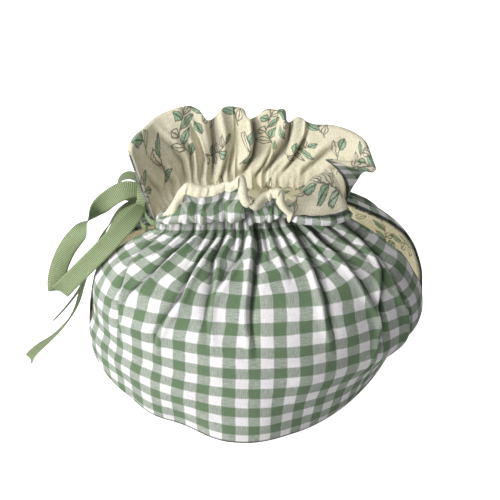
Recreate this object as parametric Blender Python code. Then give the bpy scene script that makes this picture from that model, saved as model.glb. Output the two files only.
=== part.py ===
"""Drawstring tea cosy of lined gingham, standing empty on its hem.

Frame: millimetres in the tables, metres in the objects.  +Z is up, +X is the spout side,
-X the handle side, -Y the front.  The origin is on the surface that the hem stands on,
under the middle of the cosy without its ribbon.

Each panel is a sheet that runs from the hem, over the body, through the drawn-in casing
and up to the edge of the ruffle.  A point of it is named by "across" (0 at the handle-side
edge, 1 at the spout-side edge) and "run" (millimetres of cloth up from the hem).
"""

import math
from collections import namedtuple

import bmesh
import bpy
from mathutils import Vector

MM = 0.001

# Driving dimensions, in millimetres.
CLOTH = 1.5              # one layer of cloth, with the wadding it carries
LAYER_GAP = 0.3          # between the outer cloth and its lining
SEAM_GAP = 0.3           # between the front and back panels where they are sewn
CASING_RUN = 160.0       # cloth from the hem to the drawstring
RUFFLE_RUN = 46.0        # cloth from the drawstring to the ruffle's edge
RIBBON_THICK = 1.0
COLUMN_STEP = 0.043      # widest step between columns, as a part of the panel's width
AXIS_SHIFT = Vector((-5.1, 0.0, 0.0))   # from the tables' axis to the origin

# Each cloth's look.
CLOTH_ROUGHNESS = 0.9
RIBBON_ROUGHNESS = 0.6
GINGHAM_GREEN = (0.30, 0.44, 0.31)
LINEN_CREAM = (0.76, 0.68, 0.49)
RIBBON_GREEN = (0.27, 0.39, 0.18)

# Half the girth of a panel at each height.  Left is the handle side.
Section = namedtuple("Section", "run left_x left_y left_z mid_y mid_z right_x right_y right_z bow")

FRONT_SECTIONS = [
    Section(0.0,   -107, 0, 20,   -71, 0,     95, 0, 14,    1.80),
    Section(32.0,  -108, 0, 40,   -75, 32,   104, 0, 34,    1.50),
    Section(56.0,  -103, -3, 58,  -76, 56,   117, 0, 57,    1.25),
    Section(80.0,  -102, -6, 76,  -76, 80,   114, -4, 78,   1.10),
    Section(96.0,  -100, -8, 88,  -72, 95,   108, -6, 91,   1.05),
    Section(112.0, -93, -9, 101,  -62, 108,  101, -7, 103,  1.00),
    Section(128.0, -82, -10, 112, -49, 117,   90, -7, 113,  0.95),
    Section(144.0, -70, -12, 121, -36, 124,   76, -6, 124,  0.85),
    Section(160.0, -58, -14, 129, -23, 132,   60, -2, 133,  0.75),
]
BACK_SECTIONS = [
    Section(0.0,   -107, 0, 20,   71, 0,      95, 0, 14,    1.80),
    Section(32.0,  -108, 0, 40,   75, 32,    104, 0, 34,    1.50),
    Section(56.0,  -107, 6, 57,   76, 56,    117, 2, 57,    1.25),
    Section(80.0,  -104, 13, 73,  76, 80,    118, 14, 73,   1.10),
    Section(96.0,  -98, 14, 86,   74, 95,    114, 21, 88,   1.05),
    Section(112.0, -90, 12, 99,   65, 108,   107, 22, 100,  1.00),
    Section(128.0, -81, 6, 111,   54, 118,    96, 20, 111,  0.95),
    Section(144.0, -71, -3, 121,  44, 127,    82, 16, 121,  0.95),
    Section(160.0, -60, -9, 129,  36, 135,    63, 9, 134,   1.00),
]

# Where the hem bellies out (+) or is drawn in (-) between the table's girths.
Wave = namedtuple("Wave", "across push half_width")

FRONT_HEM = [Wave(0.20, -4.0, 0.12), Wave(0.35, -8.0, 0.13), Wave(0.54, 1.5, 0.10)]
BACK_HEM = [Wave(0.30, -4.0, 0.14), Wave(0.66, -6.0, 0.15)]
HEM_WAVE_RUN = 46.0      # the waves die out this far up the cloth

# The ruffle at stations round the neck: how far its half-way point and its edge stand
# from the casing.
Flare = namedtuple("Flare", "across half_x half_y half_up edge_x edge_y edge_up")

FRONT_RUFFLE = [
    Flare(0.00,  3, -2, 17,    9, -8, 31),
    Flare(0.12,  3, -2, 19,    6, -6, 37),
    Flare(0.28,  0, -1, 17,    2, -5, 34),
    Flare(0.40,  0, -2, 19,    0, -8, 38),
    Flare(0.46,  0, -3, 21,   -1, -11, 42),
    Flare(0.51, -1, -3, 14,   -3, -16, 26),
    Flare(0.57,  0, -2, 16,    0, -8, 30),
    Flare(0.64,  0, -3, 18,    0, -10, 33),
    Flare(0.71, -2, 1, 16,    -3, -18, 17),
    Flare(0.82, -8, 8, 22,     3, -20, 13),
    Flare(0.91, -11, 10, 28,   5, -17, 11),
    Flare(1.00, -8, 8, 27,     2, -18, 11),
]
BACK_RUFFLE = [
    Flare(0.00, -6, 4, 20,   -14, 13, 42),
    Flare(0.10, -7, 5, 22,   -15, 12, 47),
    Flare(0.20, -6, 7, 24,   -15, 18, 47),
    Flare(0.31, -4, 9, 27,   -10, 20, 50),
    Flare(0.38, -3, 3, 23,    -6, 12, 45),
    Flare(0.45, 0, 8, 26,     -1, 17, 48),
    Flare(0.52, 0, 2, 22,      0, 8, 44),
    Flare(0.60, 3, 8, 25,      6, 13, 46),
    Flare(0.67, 2, 3, 21,      3, 7, 42),
    Flare(0.73, 2, 7, 21,      3, 13, 39),
    Flare(0.81, 4, 7, 21,      8, 13, 39),
    Flare(0.88, 9, 5, 18,     19, 7, 32),
    Flare(0.94, 9, 1, 15,     19, -5, 24),
    Flare(1.00, -1, 4, 15,   -13, 6, 28),
]

# Gathers pressed into the cloth by the drawstring: troughs that fade down the body.
Gather = namedtuple("Gather", "across depth half_width low_run")

FRONT_GATHERS = [
    Gather(0.060, 2.0, 0.030, 110),
    Gather(0.175, 3.5, 0.040, 80),
    Gather(0.250, 3.0, 0.035, 90),
    Gather(0.335, 3.5, 0.040, 75),
    Gather(0.400, 3.0, 0.030, 85),
    Gather(0.520, 4.5, 0.040, 68),
    Gather(0.600, 2.5, 0.035, 105),
    Gather(0.685, 3.5, 0.040, 80),
    Gather(0.765, 3.5, 0.040, 78),
    Gather(0.850, 2.5, 0.035, 60),
    Gather(0.930, 4.0, 0.035, 45),
]
BACK_GATHERS = [
    Gather(0.080, 2.5, 0.035, 90),
    Gather(0.160, 3.5, 0.040, 75),
    Gather(0.250, 3.0, 0.040, 95),
    Gather(0.340, 4.0, 0.040, 70),
    Gather(0.430, 3.0, 0.035, 95),
    Gather(0.510, 4.0, 0.040, 72),
    Gather(0.610, 3.5, 0.040, 90),
    Gather(0.700, 3.0, 0.035, 80),
    Gather(0.780, 4.0, 0.040, 65),
    Gather(0.880, 3.0, 0.040, 90),
]
FULL_GATHER_RUN = 150.0  # above this the gathers have their full depth
RUFFLE_GATHER = 0.3      # depth that a gather keeps at the ruffle's edge

SEAM_RUN = 60.0          # the panels are sewn together up to here, at both sides
SLIT_TURN_RUN = 70.0     # above the seam the edge turns square to the cloth over this run
LEAST_LEAN = 0.6         # keeps crease_stretch in bounds

Panel = namedtuple("Panel", "sections hem ruffle gathers outward")
FRONT = Panel(FRONT_SECTIONS, FRONT_HEM, FRONT_RUFFLE, FRONT_GATHERS, -1)
BACK = Panel(BACK_SECTIONS, BACK_HEM, BACK_RUFFLE, BACK_GATHERS, 1)

# The ribbon, drawn out of both casings at the handle side and tied in a bow.  Each row is
# a point of its middle line, the way its width lies there, and its width.
Ribbon = namedtuple("Ribbon", "x y z wide_x wide_y wide_z width")

KNOT_AT = Vector((-67.0, 11.5, 137.0))
KNOT_RADII = Vector((5.0, 6.5, 7.0))

LEAD_FRONT = [
    Ribbon(-58.4, -13.2, 131.5, 0, 0, 1, 3.5),
    Ribbon(-62.5, -11.6, 132, 0, 0, 1, 4),
    Ribbon(-66, -5, 134, 0, 0, 1, 4),
    Ribbon(-66.5, 3, 136, 0, 0, 1, 4),
    Ribbon(-66.5, 8, 137.5, 0, 0, 1, 4),
]
LEAD_BACK = [
    Ribbon(-64.2, -9, 126.3, 0, 0, 1, 3),
    Ribbon(-66, -9.9, 126.6, 0, 0, 1, 3.5),
    Ribbon(-68, -8.4, 127.2, 0, 0, 1, 4),
    Ribbon(-69.6, -4.5, 128.5, 0, 0, 1, 4),
    Ribbon(-70, 1, 131, 0, 0, 1, 4),
    Ribbon(-69, 7, 134, 0, 0, 1, 4),
]
LOOP_FRONT = [
    Ribbon(-66, 13, 140, 0, 0.53, 0.85, 5),
    Ribbon(-71, 12, 142, 0, 0.53, 0.85, 9),
    Ribbon(-80, 10, 142.5, -0.15, 0.53, 0.84, 12),
    Ribbon(-89, 9, 138, -0.45, 0.47, 0.75, 12),
    Ribbon(-97, 8, 131, -0.50, -0.10, 0.86, 12),
    Ribbon(-103, 6, 123, -0.10, -0.86, 0.50, 12),
    Ribbon(-111, 4, 114, 0.65, -0.55, -0.40, 12),
    Ribbon(-119, 2, 104, 0.82, -0.30, -0.50, 12),
    Ribbon(-125, 0, 92, 0.93, -0.19, -0.32, 12),
    Ribbon(-127.5, -3.5, 83, 0.94, -0.10, -0.34, 12.5),
    Ribbon(-127, -8, 78, 0.89, 0.02, -0.44, 13),
    Ribbon(-124, -11.5, 80, 0.82, -0.20, -0.50, 12.5),
    Ribbon(-118, -13.5, 86, 0.74, -0.35, -0.58, 12),
    Ribbon(-107, -16, 99, 0.71, -0.37, -0.60, 12),
    Ribbon(-95, -16, 112, 0.71, -0.37, -0.60, 12),
    Ribbon(-85, -13, 122, 0.72, -0.37, -0.58, 12),
    Ribbon(-76, -7, 130, 0.73, -0.35, -0.56, 11),
    Ribbon(-70, 1, 134, 0.70, -0.36, -0.60, 8),
    Ribbon(-67, 8, 134.5, 0.60, -0.30, -0.70, 5),
]
LOOP_BACK = [
    Ribbon(-65, 15, 140, 0, 1, 0, 5),
    Ribbon(-74, 21, 146, 0, 1, 0, 9),
    Ribbon(-81, 25, 145, 0, 1, 0, 11),
    Ribbon(-86, 27, 140, 0, 1, 0, 11),
    Ribbon(-87, 27, 134.5, 0, 1, 0, 11),
    Ribbon(-83, 25.5, 130.5, 0, 1, 0, 11),
    Ribbon(-76, 22, 130.5, 0, 1, 0, 9),
    Ribbon(-69, 15, 134, 0, 1, 0, 5),
]
TAIL_LONG = [
    Ribbon(-67, 11, 132, -0.10, 0.70, 0.70, 5),
    Ribbon(-76, 8, 129, 0, 0.87, 0.50, 8),
    Ribbon(-85, 3.5, 125, 0.08, 0.97, 0.15, 10),
    Ribbon(-93, -1, 116, 0.15, 0.97, -0.10, 11),
    Ribbon(-98.5, -4, 106, 0.18, 0.96, -0.20, 12),
    Ribbon(-104.5, -5, 94, 0.18, 0.95, -0.25, 12),
    Ribbon(-110, -5, 80, 0.18, 0.95, -0.25, 12),
    Ribbon(-116.5, -3, 60, 0.18, 0.95, -0.20, 12),
    Ribbon(-127, 0, 42, 0.16, 0.97, -0.10, 12),
    Ribbon(-138, 3, 28, 0.10, 0.98, -0.05, 12),
    Ribbon(-148, 5, 18, -0.15, 0.97, 0, 12),
    Ribbon(-155, 6, 9, -0.40, 0.90, 0.08, 12),
]
TAIL_SHORT = [
    Ribbon(-67.5, 15, 133, -0.10, 0.70, 0.70, 5),
    Ribbon(-77.5, 16, 128, 0, 0.87, 0.50, 8),
    Ribbon(-86.5, 15, 122, 0.10, 0.97, 0.20, 10),
    Ribbon(-94, 12.5, 113, 0.20, 0.95, -0.10, 11),
    Ribbon(-99.5, 10.5, 103, 0.25, 0.94, -0.20, 11),
    Ribbon(-104.5, 10, 92, 0.25, 0.94, -0.20, 11),
    Ribbon(-109, 10, 79, 0.25, 0.94, -0.20, 11),
    Ribbon(-115, 11, 66, 0.25, 0.94, -0.20, 11),
    Ribbon(-124, 11, 53, 0.25, 0.94, -0.20, 11),
    Ribbon(-133, 11, 42, 0.25, 0.94, -0.20, 11),
]
RIBBON_STEPS = 2         # rings of the solid for each row of a route

BODY_RUNS = [0, 4, 22, 42, 62, 80, 95, 108, 120, 132, 143, 152, 160]
RUFFLE_RUNS = [168, 180, 193, 206]


def smooth_read(table, key, at):
    """Read every column of a table at a place between its rows, without overshoot."""
    keys = [getattr(row, key) for row in table]
    at = min(max(at, keys[0]), keys[-1])
    low = max(index for index, value in enumerate(keys[:-1]) if value <= at)
    span = keys[low + 1] - keys[low]
    part = (at - keys[low]) / span
    values = []
    for column in range(len(table[0])):
        rows = [row[column] for row in table]
        step = (rows[low + 1] - rows[low]) / span
        slopes = []
        for index in (low, low + 1):
            if index in (0, len(rows) - 1):
                slopes.append(step)
                continue
            before = (rows[index] - rows[index - 1]) / (keys[index] - keys[index - 1])
            after = (rows[index + 1] - rows[index]) / (keys[index + 1] - keys[index])
            slopes.append(0.0 if before * after <= 0 else 2 * before * after / (before + after))
        square, cube = part * part, part ** 3
        values.append((2 * cube - 3 * square + 1) * rows[low]
                      + (cube - 2 * square + part) * span * slopes[0]
                      + (3 * square - 2 * cube) * rows[low + 1]
                      + (cube - square) * span * slopes[1])
    return type(table[0])(*values)


def girth_point(section, turn):
    """A point of a section at a turn of 0 to pi from the left edge to the right one."""
    part = (1 - math.cos(turn)) / 2
    swell = max(math.sin(turn), 0.0) ** section.bow
    base_y = section.left_y + (section.right_y - section.left_y) * part
    mid_base = (section.left_y + section.right_y) / 2
    lift = abs(math.cos(turn)) ** 4
    side_z = section.left_z if part < 0.5 else section.right_z
    return Vector((section.left_x + (section.right_x - section.left_x) * part,
                   base_y + (section.mid_y - mid_base) * swell,
                   section.mid_z + (side_z - section.mid_z) * lift))


def girth(section, across, samples=48):
    """The point a given part of the way along a section, measured on the cloth."""
    points = [girth_point(section, math.pi * index / samples) for index in range(samples + 1)]
    lengths = [0.0]
    for first, second in zip(points, points[1:]):
        lengths.append(lengths[-1] + (second - first).length)
    target = lengths[-1] * min(max(across, 0.0), 1.0)
    for index in range(samples):
        if lengths[index + 1] >= target:
            part = (target - lengths[index]) / (lengths[index + 1] - lengths[index])
            return points[index].lerp(points[index + 1], part)
    return points[-1]


def ruffle_point(panel, across, part):
    """A point of the ruffle, a given part of the way from the casing to its edge."""
    root = girth(panel.sections[-1], across)
    flare = smooth_read(panel.ruffle, "across", across)
    half = Vector((flare.half_x, flare.half_y, flare.half_up))
    edge = Vector((flare.edge_x, flare.edge_y, flare.edge_up))
    return root + half * (4 * part * (1 - part)) + edge * (part * (2 * part - 1))


def hem_push(panel, across, run):
    """How far the hem's waves push the cloth out at a point."""
    fade = max(0.0, 1 - run / HEM_WAVE_RUN)
    return fade * sum(wave.push * (1 + math.cos(math.pi * (across - wave.across) / wave.half_width)) / 2
                      for wave in panel.hem if abs(across - wave.across) < wave.half_width)


def smooth_sheet(panel, across, run):
    """The panel before its gathers are pressed in."""
    if run <= CASING_RUN:
        point = girth(smooth_read(panel.sections, "run", run), across)
        point.y += panel.outward * hem_push(panel, across, run)
        return point
    return ruffle_point(panel, across, (run - CASING_RUN) / RUFFLE_RUN)


def gather_depth(panel, across, run):
    """How far the gathers push the cloth in at a point."""
    depth = 0.0
    for gather in panel.gathers:
        away = abs(across - gather.across) / gather.half_width
        if away >= 1 or run <= gather.low_run:
            continue
        rise = min((run - gather.low_run) / (FULL_GATHER_RUN - gather.low_run), 1.0)
        if run > CASING_RUN:
            rise = 1 - (1 - RUFFLE_GATHER) * (run - CASING_RUN) / RUFFLE_RUN
        depth += gather.depth * (1 - away) * rise
    return depth


def panel_columns(panel):
    """Where the columns of a panel's grid stand: on each gather and between them."""
    marks = [0.0] + [gather.across for gather in panel.gathers] + [1.0]
    columns = []
    for first, second in zip(marks, marks[1:]):
        count = max(2, math.ceil((second - first) / COLUMN_STEP))
        columns += [first + (second - first) * index / count for index in range(count)]
    return columns + [1.0]


def grid_normals(grid, outward):
    """The way out of the body at each point of a grid of points."""
    normals = []
    for row, points in enumerate(grid):
        below, above = grid[max(row - 1, 0)], grid[min(row + 1, len(grid) - 1)]
        last = len(points) - 1
        normals.append([((points[min(index + 1, last)] - points[max(index - 1, 0)]).cross(
            above[index] - below[index])).normalized() * -outward for index in range(last + 1)])
    return normals


def crease_stretch(grid, normals, row, index):
    """How much further a point moves so that a creased cloth keeps its thickness."""
    here, normal, least = grid[row][index], normals[row][index], 1.0
    for row_step in (-1, 1):
        for step in (-1, 1):
            if 0 <= row + row_step < len(grid) and 0 <= index + step < len(grid[row]):
                facet = (grid[row][index + step] - here).cross(grid[row + row_step][index] - here)
                least = min(least, abs(facet.normalized().dot(normal)))
    return 1 / max(least, LEAST_LEAN)


def panel_grid(panel):
    """The middle of a panel as a grid of points, and the ways out of it."""
    columns = panel_columns(panel)
    runs = BODY_RUNS + RUFFLE_RUNS
    grid = [[smooth_sheet(panel, across, run) for across in columns] for run in runs]
    normals = grid_normals(grid, panel.outward)
    for row, run in enumerate(runs):
        for index, across in enumerate(columns):
            grid[row][index] -= normals[row][index] * gather_depth(panel, across, run)
    normals = grid_normals(grid, panel.outward)
    for row, run in enumerate(runs):
        normals[row] = [normal * crease_stretch(grid, normals, row, index)
                        for index, normal in enumerate(normals[row])]
        if row == 0:
            normals[row] = [Vector((normal.x, normal.y, 0)) for normal in normals[row]]
        for index, side in ((0, Vector((-1, 0, 0))), (-1, Vector((1, 0, 0)))):
            if run <= SEAM_RUN:
                normals[row][index] = side
                grid[row][index].y += panel.outward * SEAM_GAP / 2
            else:
                normal = normals[row][index]
                turn = side * max(0.0, 1 - (run - SEAM_RUN) / SLIT_TURN_RUN)
                normals[row][index] = (normal.normalized() + turn).normalized() * normal.length
    return grid, normals


def build_sheet(name, under, over, colour, roughness):
    """A cloth as a closed solid between two grids of points."""
    last_row, last_column = len(under) - 1, len(under[0]) - 1
    cloth = bmesh.new()
    row_of = cloth.verts.layers.int.new("row")
    column_of = cloth.verts.layers.int.new("column")
    bmesh.ops.create_grid(cloth, x_segments=last_column, y_segments=last_row, size=1)
    for vert in cloth.verts:
        vert[row_of] = round((vert.co.y + 1) / 2 * last_row)
        vert[column_of] = round((vert.co.x + 1) / 2 * last_column)
        vert.co = (under[vert[row_of]][vert[column_of]] + AXIS_SHIFT) * MM
    # Both sides are split along the same diagonals, so the cloths nest in every crease.
    bmesh.ops.triangulate(cloth, faces=cloth.faces, quad_method="FIXED")
    grown = bmesh.ops.extrude_face_region(cloth, geom=cloth.faces[:])
    for vert in grown["geom"]:
        if isinstance(vert, bmesh.types.BMVert):
            vert.co = (over[vert[row_of]][vert[column_of]] + AXIS_SHIFT) * MM
    bmesh.ops.recalc_face_normals(cloth, faces=cloth.faces)
    return make_object(name, cloth, colour, roughness)


def build_layer(name, grid, normals, inner, outer, colour):
    """One cloth of a panel, between two offsets from its middle."""
    under, over = ([[point + normal * offset for point, normal in zip(*rows)]
                    for rows in zip(grid, normals)] for offset in (inner, outer))
    return build_sheet(name, under, over, colour, CLOTH_ROUGHNESS)


def make_object(name, shape, colour, roughness):
    """Turn a bmesh into a named object with its own material."""
    mesh = bpy.data.meshes.new(name)
    shape.to_mesh(mesh)
    shape.free()
    thing = bpy.data.objects.new(name, mesh)
    bpy.context.collection.objects.link(thing)
    material = bpy.data.materials.new(name)
    material.use_nodes = True
    surface = material.node_tree.nodes["Principled BSDF"]
    surface.inputs["Base Color"].default_value = (*colour, 1.0)
    surface.inputs["Roughness"].default_value = roughness
    surface.inputs["Metallic"].default_value = 0.0
    mesh.materials.append(material)
    mesh.shade_smooth()
    return thing


def smooth_route(route, steps):
    """Read a route as a smooth curve, steps rows for each of its own."""
    last = len(route) - 1
    rows = []
    for index in range(last):
        near = [route[min(max(index + step, 0), last)] for step in (-1, 0, 1, 2)]
        for step in range(steps):
            part = step / steps
            rows.append(Ribbon(*(
                0.5 * (2 * b + (c - a) * part + (2 * a - 5 * b + 4 * c - d) * part ** 2
                       + (3 * b - a - 3 * c + d) * part ** 3)
                for a, b, c, d in zip(*near))))
    return rows + [route[-1]]


def build_strip(name, route):
    """A flat ribbon along a route."""
    rows = smooth_route(route, RIBBON_STEPS)
    places = [Vector(row[:3]) for row in rows]
    under, over = [], []
    for index, row in enumerate(rows):
        ahead = places[min(index + 1, len(rows) - 1)] - places[max(index - 1, 0)]
        ahead.normalize()
        wide = Vector((row.wide_x, row.wide_y, row.wide_z))
        wide = (wide - ahead * wide.dot(ahead)).normalized() * row.width / 2
        thick = ahead.cross(wide).normalized() * RIBBON_THICK / 2
        under.append([places[index] - wide - thick, places[index] + wide - thick])
        over.append([places[index] - wide + thick, places[index] + wide + thick])
    return build_sheet(name, under, over, RIBBON_GREEN, RIBBON_ROUGHNESS)


def build_ribbon():
    """The tied ribbon as one solid: the knot with its leads, loops and tails joined on."""
    shape = bmesh.new()
    bmesh.ops.create_icosphere(shape, subdivisions=2, radius=1.0)
    bmesh.ops.scale(shape, vec=KNOT_RADII * MM, verts=shape.verts)
    bmesh.ops.translate(shape, vec=(KNOT_AT + AXIS_SHIFT) * MM, verts=shape.verts)
    ribbon = make_object("ribbon", shape, RIBBON_GREEN, RIBBON_ROUGHNESS)
    strips = {"lead_front": LEAD_FRONT, "lead_back": LEAD_BACK, "loop_front": LOOP_FRONT,
              "loop_back": LOOP_BACK, "tail_long": TAIL_LONG, "tail_short": TAIL_SHORT}
    for name, route in strips.items():
        strip = build_strip("guide_" + name, route)
        strip.hide_render = True
        strip.display_type = "WIRE"
        joint = ribbon.modifiers.new(name, "BOOLEAN")
        joint.operation = "UNION"
        joint.object = strip


def main():
    for thing in list(bpy.data.objects):
        bpy.data.objects.remove(thing)
    half_gap = LAYER_GAP / 2
    for side, panel in (("front", FRONT), ("back", BACK)):
        grid, normals = panel_grid(panel)
        build_layer(side + "_outer", grid, normals, half_gap, half_gap + CLOTH, GINGHAM_GREEN)
        # The lining stops at the grid's second row, just above the hem.
        build_layer(side + "_lining", grid[1:], normals[1:], -half_gap - CLOTH, -half_gap, LINEN_CREAM)
    build_ribbon()


main()
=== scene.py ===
"""Looks of a drawstring tea cosy: gingham cloths, leaf-print linings and a grosgrain bow.

Millimetres in the tables, metres in the objects.  +Z is up, +X is the spout side, -X the
handle side, -Y the front.  A point of a panel is named by "across" (0 at the handle-side
edge, 1 at the spout-side edge) and "run" (millimetres of cloth up from the hem).
"""

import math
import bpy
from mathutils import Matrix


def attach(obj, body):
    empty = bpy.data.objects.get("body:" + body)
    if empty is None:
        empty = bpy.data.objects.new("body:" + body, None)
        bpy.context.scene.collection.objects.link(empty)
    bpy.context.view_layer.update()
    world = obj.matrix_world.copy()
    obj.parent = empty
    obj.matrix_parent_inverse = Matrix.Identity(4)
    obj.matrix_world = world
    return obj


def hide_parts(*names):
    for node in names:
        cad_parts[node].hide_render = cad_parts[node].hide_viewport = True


bl_info = {
    "name": "Tea cosy",
    "version": (1, 0, 0),
    "blender": (4, 5, 0),
    "location": "View3D > Sidebar > Tea cosy",
    "description": "Builds a lined gingham tea cosy with a drawstring bow",
    "category": "Object",
}

from collections import namedtuple

import bmesh
import bpy
import numpy as np
from mathutils import Vector

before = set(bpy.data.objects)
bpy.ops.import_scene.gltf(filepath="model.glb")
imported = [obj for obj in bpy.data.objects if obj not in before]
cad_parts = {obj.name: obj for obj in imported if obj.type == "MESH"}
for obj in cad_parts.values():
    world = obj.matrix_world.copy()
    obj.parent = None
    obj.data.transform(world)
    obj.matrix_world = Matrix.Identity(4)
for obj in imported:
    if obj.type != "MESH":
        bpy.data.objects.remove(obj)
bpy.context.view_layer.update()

MM = 0.001
AXIS_SHIFT = np.array([-5.1, 0.0, 0.0])   # from the tables' axis to the origin
# The attributes of each vertex.
FLAT_MM = "cloth_mm"     # its place on the flat cloth
SPREAD = "leaf_mm"       # the same for the print, on a cloth only as wide as it shows
EDGE_AND_CREASE_SHADE = "edge_and_crease_shade"      # how far it is from the nearest turned edge, and how dark the painted shade of its crease's line is

# ---------------------------------------------------------------- the cut and the folds

CASING_RUN = 160.0       # cloth from the hem to the drawstring
RUFFLE_RUN = 46.0        # cloth from the drawstring to the ruffle's edge
RIM_RUN = CASING_RUN + RUFFLE_RUN
FULL_WIDTH_RUN = 80.0    # the panels are cut straight above this
HEM_WAVE_RUN = 60.0      # the hem's waves die away over this run
SEAM_RUN = 60.0          # the panels are sewn together up to here, at both sides
SEAM_GAP, SEAM_GAP_WIDTH = 0.3, 3.0   # between the panels at the seam, and how far in it fades
SEAM_TURN, SEAM_PULL = 6.0, 3.0   # the cloth turns to the seam over this width, this strongly
SLIT_TURN_RUN = 70.0     # above the seam the edge turns square to the cloth over this run
SEWN_CLOSE = 0.85        # how much of the gap at the seam is closed, if it is narrow
SEWN_GAP, SEWN_FADE = 0.9, 0.6    # the widest gap that is sewn, and over what the sewing fades
SEWN_WIDTH = 2.5         # how much of the cloth the sewing draws in
# How far from a turned edge the pleats, the lumps and the drawstring's pinch are whole, and
# how far above the hem the lumps are.
PLEAT_CALM, LUMP_CALM, PINCH_CALM, HEM_CALM = 6.0, 9.0, 12.0, 14.0
GIRTH_STEPS = 801        # points on a girth, before they are spread evenly
SIDE_RISE = 4            # the power with which a girth turns to its sides' height
LEVEL_RUN = 8.0          # the way out is level at the hem, and the cloth's own from this run on
# From the middle between the two cloths to a cloth's face and to its back: in the open, at
# the side seams and at the slits.
CLOTH_FACE = (1.65, 0.9, 0.28)
CLOTH_BACK = (0.45, 0.25, 0.08)
SLIT_THIN_RUN = 8.0      # the edges change from the seam's to the slit's over this run
HEM_THIN = 0.45          # what is left of that at the hem
HEM_TURNED = 1.3         # how far the gingham's hem is turned in under the lining
TURNED_UP, TURNED_RUN = 0.6, 1.0   # up to which run, and over what run that ends
LINING_SHORT = 4         # the lining leaves out these rows of the hem
EDGE_ROUND = 2.2         # the turned edges are rounded over this width
STITCH_IN = 4.2          # from a turned edge to its row of stitches
STITCH_DEPTH, STITCH_WIDTH = 0.35, 0.7
LIP_ROWS = 16
LIP_TURNS = (6, 72, 180) # how far the rim turns in degrees: under the other cloth's, even, over
LIP_PUFF = 0.6           # how far the turned cloth of the lip puffs up
LIP_END = 0.2            # the thickness of its end

PLEAT_TURN = 0.45        # across, where the folds' steep flanks change sides
STEEP, GENTLE = 0.72, 1.5   # the widths of a fold's two flanks, in fold widths
FOLD_POWER = 1.15        # 2 is a soft trough and 1 a sharp one
# The crest beside a fold as a part of its depth, how far off it stands and how wide it is,
# in fold widths, and the same for the cloth's broad puff on both sides.
RIDGE, RIDGE_AWAY, RIDGE_WIDTH = 0.30, 1.5, 0.8
SHOULDER, SHOULDER_WIDTH = 0.28, 2.6
BROAD_FOLD = 5.0         # a wider fold hides no cloth
HIDING_WIDTH = 0.8       # a fold hides cloth over this many of its widths
CREASE_WIDTH, CREASE_SPREAD = 0.6, 0.17   # the half width of a crease's line of painted shade, and more by its depth
DARKEST_CREASE_SHADE = 5.5     # the painted shade of a crease's line is at its darkest from this depth on
NECK_SHADE_DEPTH, NECK_UP, NECK_WIDTH = 3.5, 5.5, 1.3   # the line of painted shade above the drawstring, under the ruffle's overhang

UPRIGHT_THREAD = 4.0     # x, where the gingham's threads run straight up the middle
CHECK_START = (3.5, 7.0) # where the gingham's checks start, across and along
PRINT_START = {-1: (60.0, 16.0), 1: (0.0, 0.0)}   # the same for the print, by panel
# By run, the gathered cloth that the folds do not hide.
EVEN_GATHER = ((80, 130, 156, 180, 206), (0.05, 0.12, 0.42, 0.25, 0.16))
STRAIGHT_FALL = 0.95     # how straight the threads fall below the full width
RUFFLE_OPENS = 0.65      # how far the cloth spreads out of its folds above the drawstring
OPENS_UP, OPENS_RUN = 3, 20      # from how far above it, and over what run
OPENS_PASSES, WEFT_PASSES = 600, 260   # how far the cloth moves sideways to even itself out
WEFT_TURN = 0.9          # how square the weft stays to the warp between the folds
WEFT_UP, WEFT_RUN = 78, 34       # from which run, and over what run

THREAD_WANDER = 1.2      # how far the threads wander from their place
CHECK_BLUR = 0.16        # how soft a check's edges are, as a part of the stripes' wave
SLUB_TIP, WEAVE_TIP = 1.05, 0.06   # how much slubs and weave tell which thread is on top
HALF_TONE = 0.52         # the power that turns a half-tone check greener
EDGE_SHADE_SPAN = (0.9, 2.0) # the painted shade along a turned edge is darkest up to the first and gone from the second
HEM_SHADE_REACH = 0.62          # the painted edge shade reaches further up the hem than along the slits' edges, by this
# How much of the colour the painted shade leaves at the darkest of a turned edge and of a crease's
# line.
GINGHAM_SHADE = (0.24, 0.26)
LINEN_SHADE = (0.62, 0.46)

# The body's sections: the run, x, y and z at its handle-side edge, y and z at its middle,
# x, y and z at its spout-side edge, and how flat its bow is.
FRONT_SECTIONS = [
    (0.0,   -107, 0, 20,   -71, 0,     95, 0, 14,    1.80),
    (32.0,  -108, 0, 40,   -75, 32,   104, 0, 34,    1.50),
    (56.0,  -103, -3, 58,  -76, 56,   117, 0, 57,    1.25),
    (80.0,  -102, -6, 76,  -76, 80,   114, -4, 78,   1.10),
    (96.0,  -100, -8, 88,  -72, 95,   108, -6, 91,   1.05),
    (112.0, -93, -9, 101,  -62, 108,  101, -7, 103,  1.00),
    (128.0, -82, -10, 112, -49, 117,   90, -7, 113,  0.95),
    (144.0, -70, -12, 121, -36, 124,   76, -6, 124,  0.85),
    (160.0, -58, -14, 129, -23, 132,   60, -2, 133,  0.75),
]
BACK_SECTIONS = [
    (0.0,   -107, 0, 20,   71, 0,      95, 0, 14,    1.80),
    (32.0,  -108, 0, 40,   75, 32,    104, 0, 34,    1.50),
    (56.0,  -107, 6, 57,   76, 56,    117, 2, 57,    1.25),
    (80.0,  -104, 13, 73,  76, 80,    118, 14, 73,   1.10),
    (96.0,  -98, 14, 86,   74, 95,    114, 21, 88,   1.05),
    (112.0, -90, 12, 99,   65, 108,   107, 22, 100,  1.00),
    (128.0, -81, 6, 111,   54, 118,    96, 20, 111,  0.95),
    (144.0, -71, -3, 121,  44, 127,    82, 16, 121,  0.95),
    (160.0, -60, -9, 129,  36, 135,    63, 9, 134,   1.00),
]

# Where the hem bellies out (+) or is drawn in (-) between the sections: across, how far and
# over what half width.
FRONT_HEM = [(0.20, -4.0, 0.12), (0.35, -8.0, 0.13), (0.54, 1.5, 0.10)]
BACK_HEM = [(0.30, -4.0, 0.14), (0.66, -6.0, 0.15)]

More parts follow.
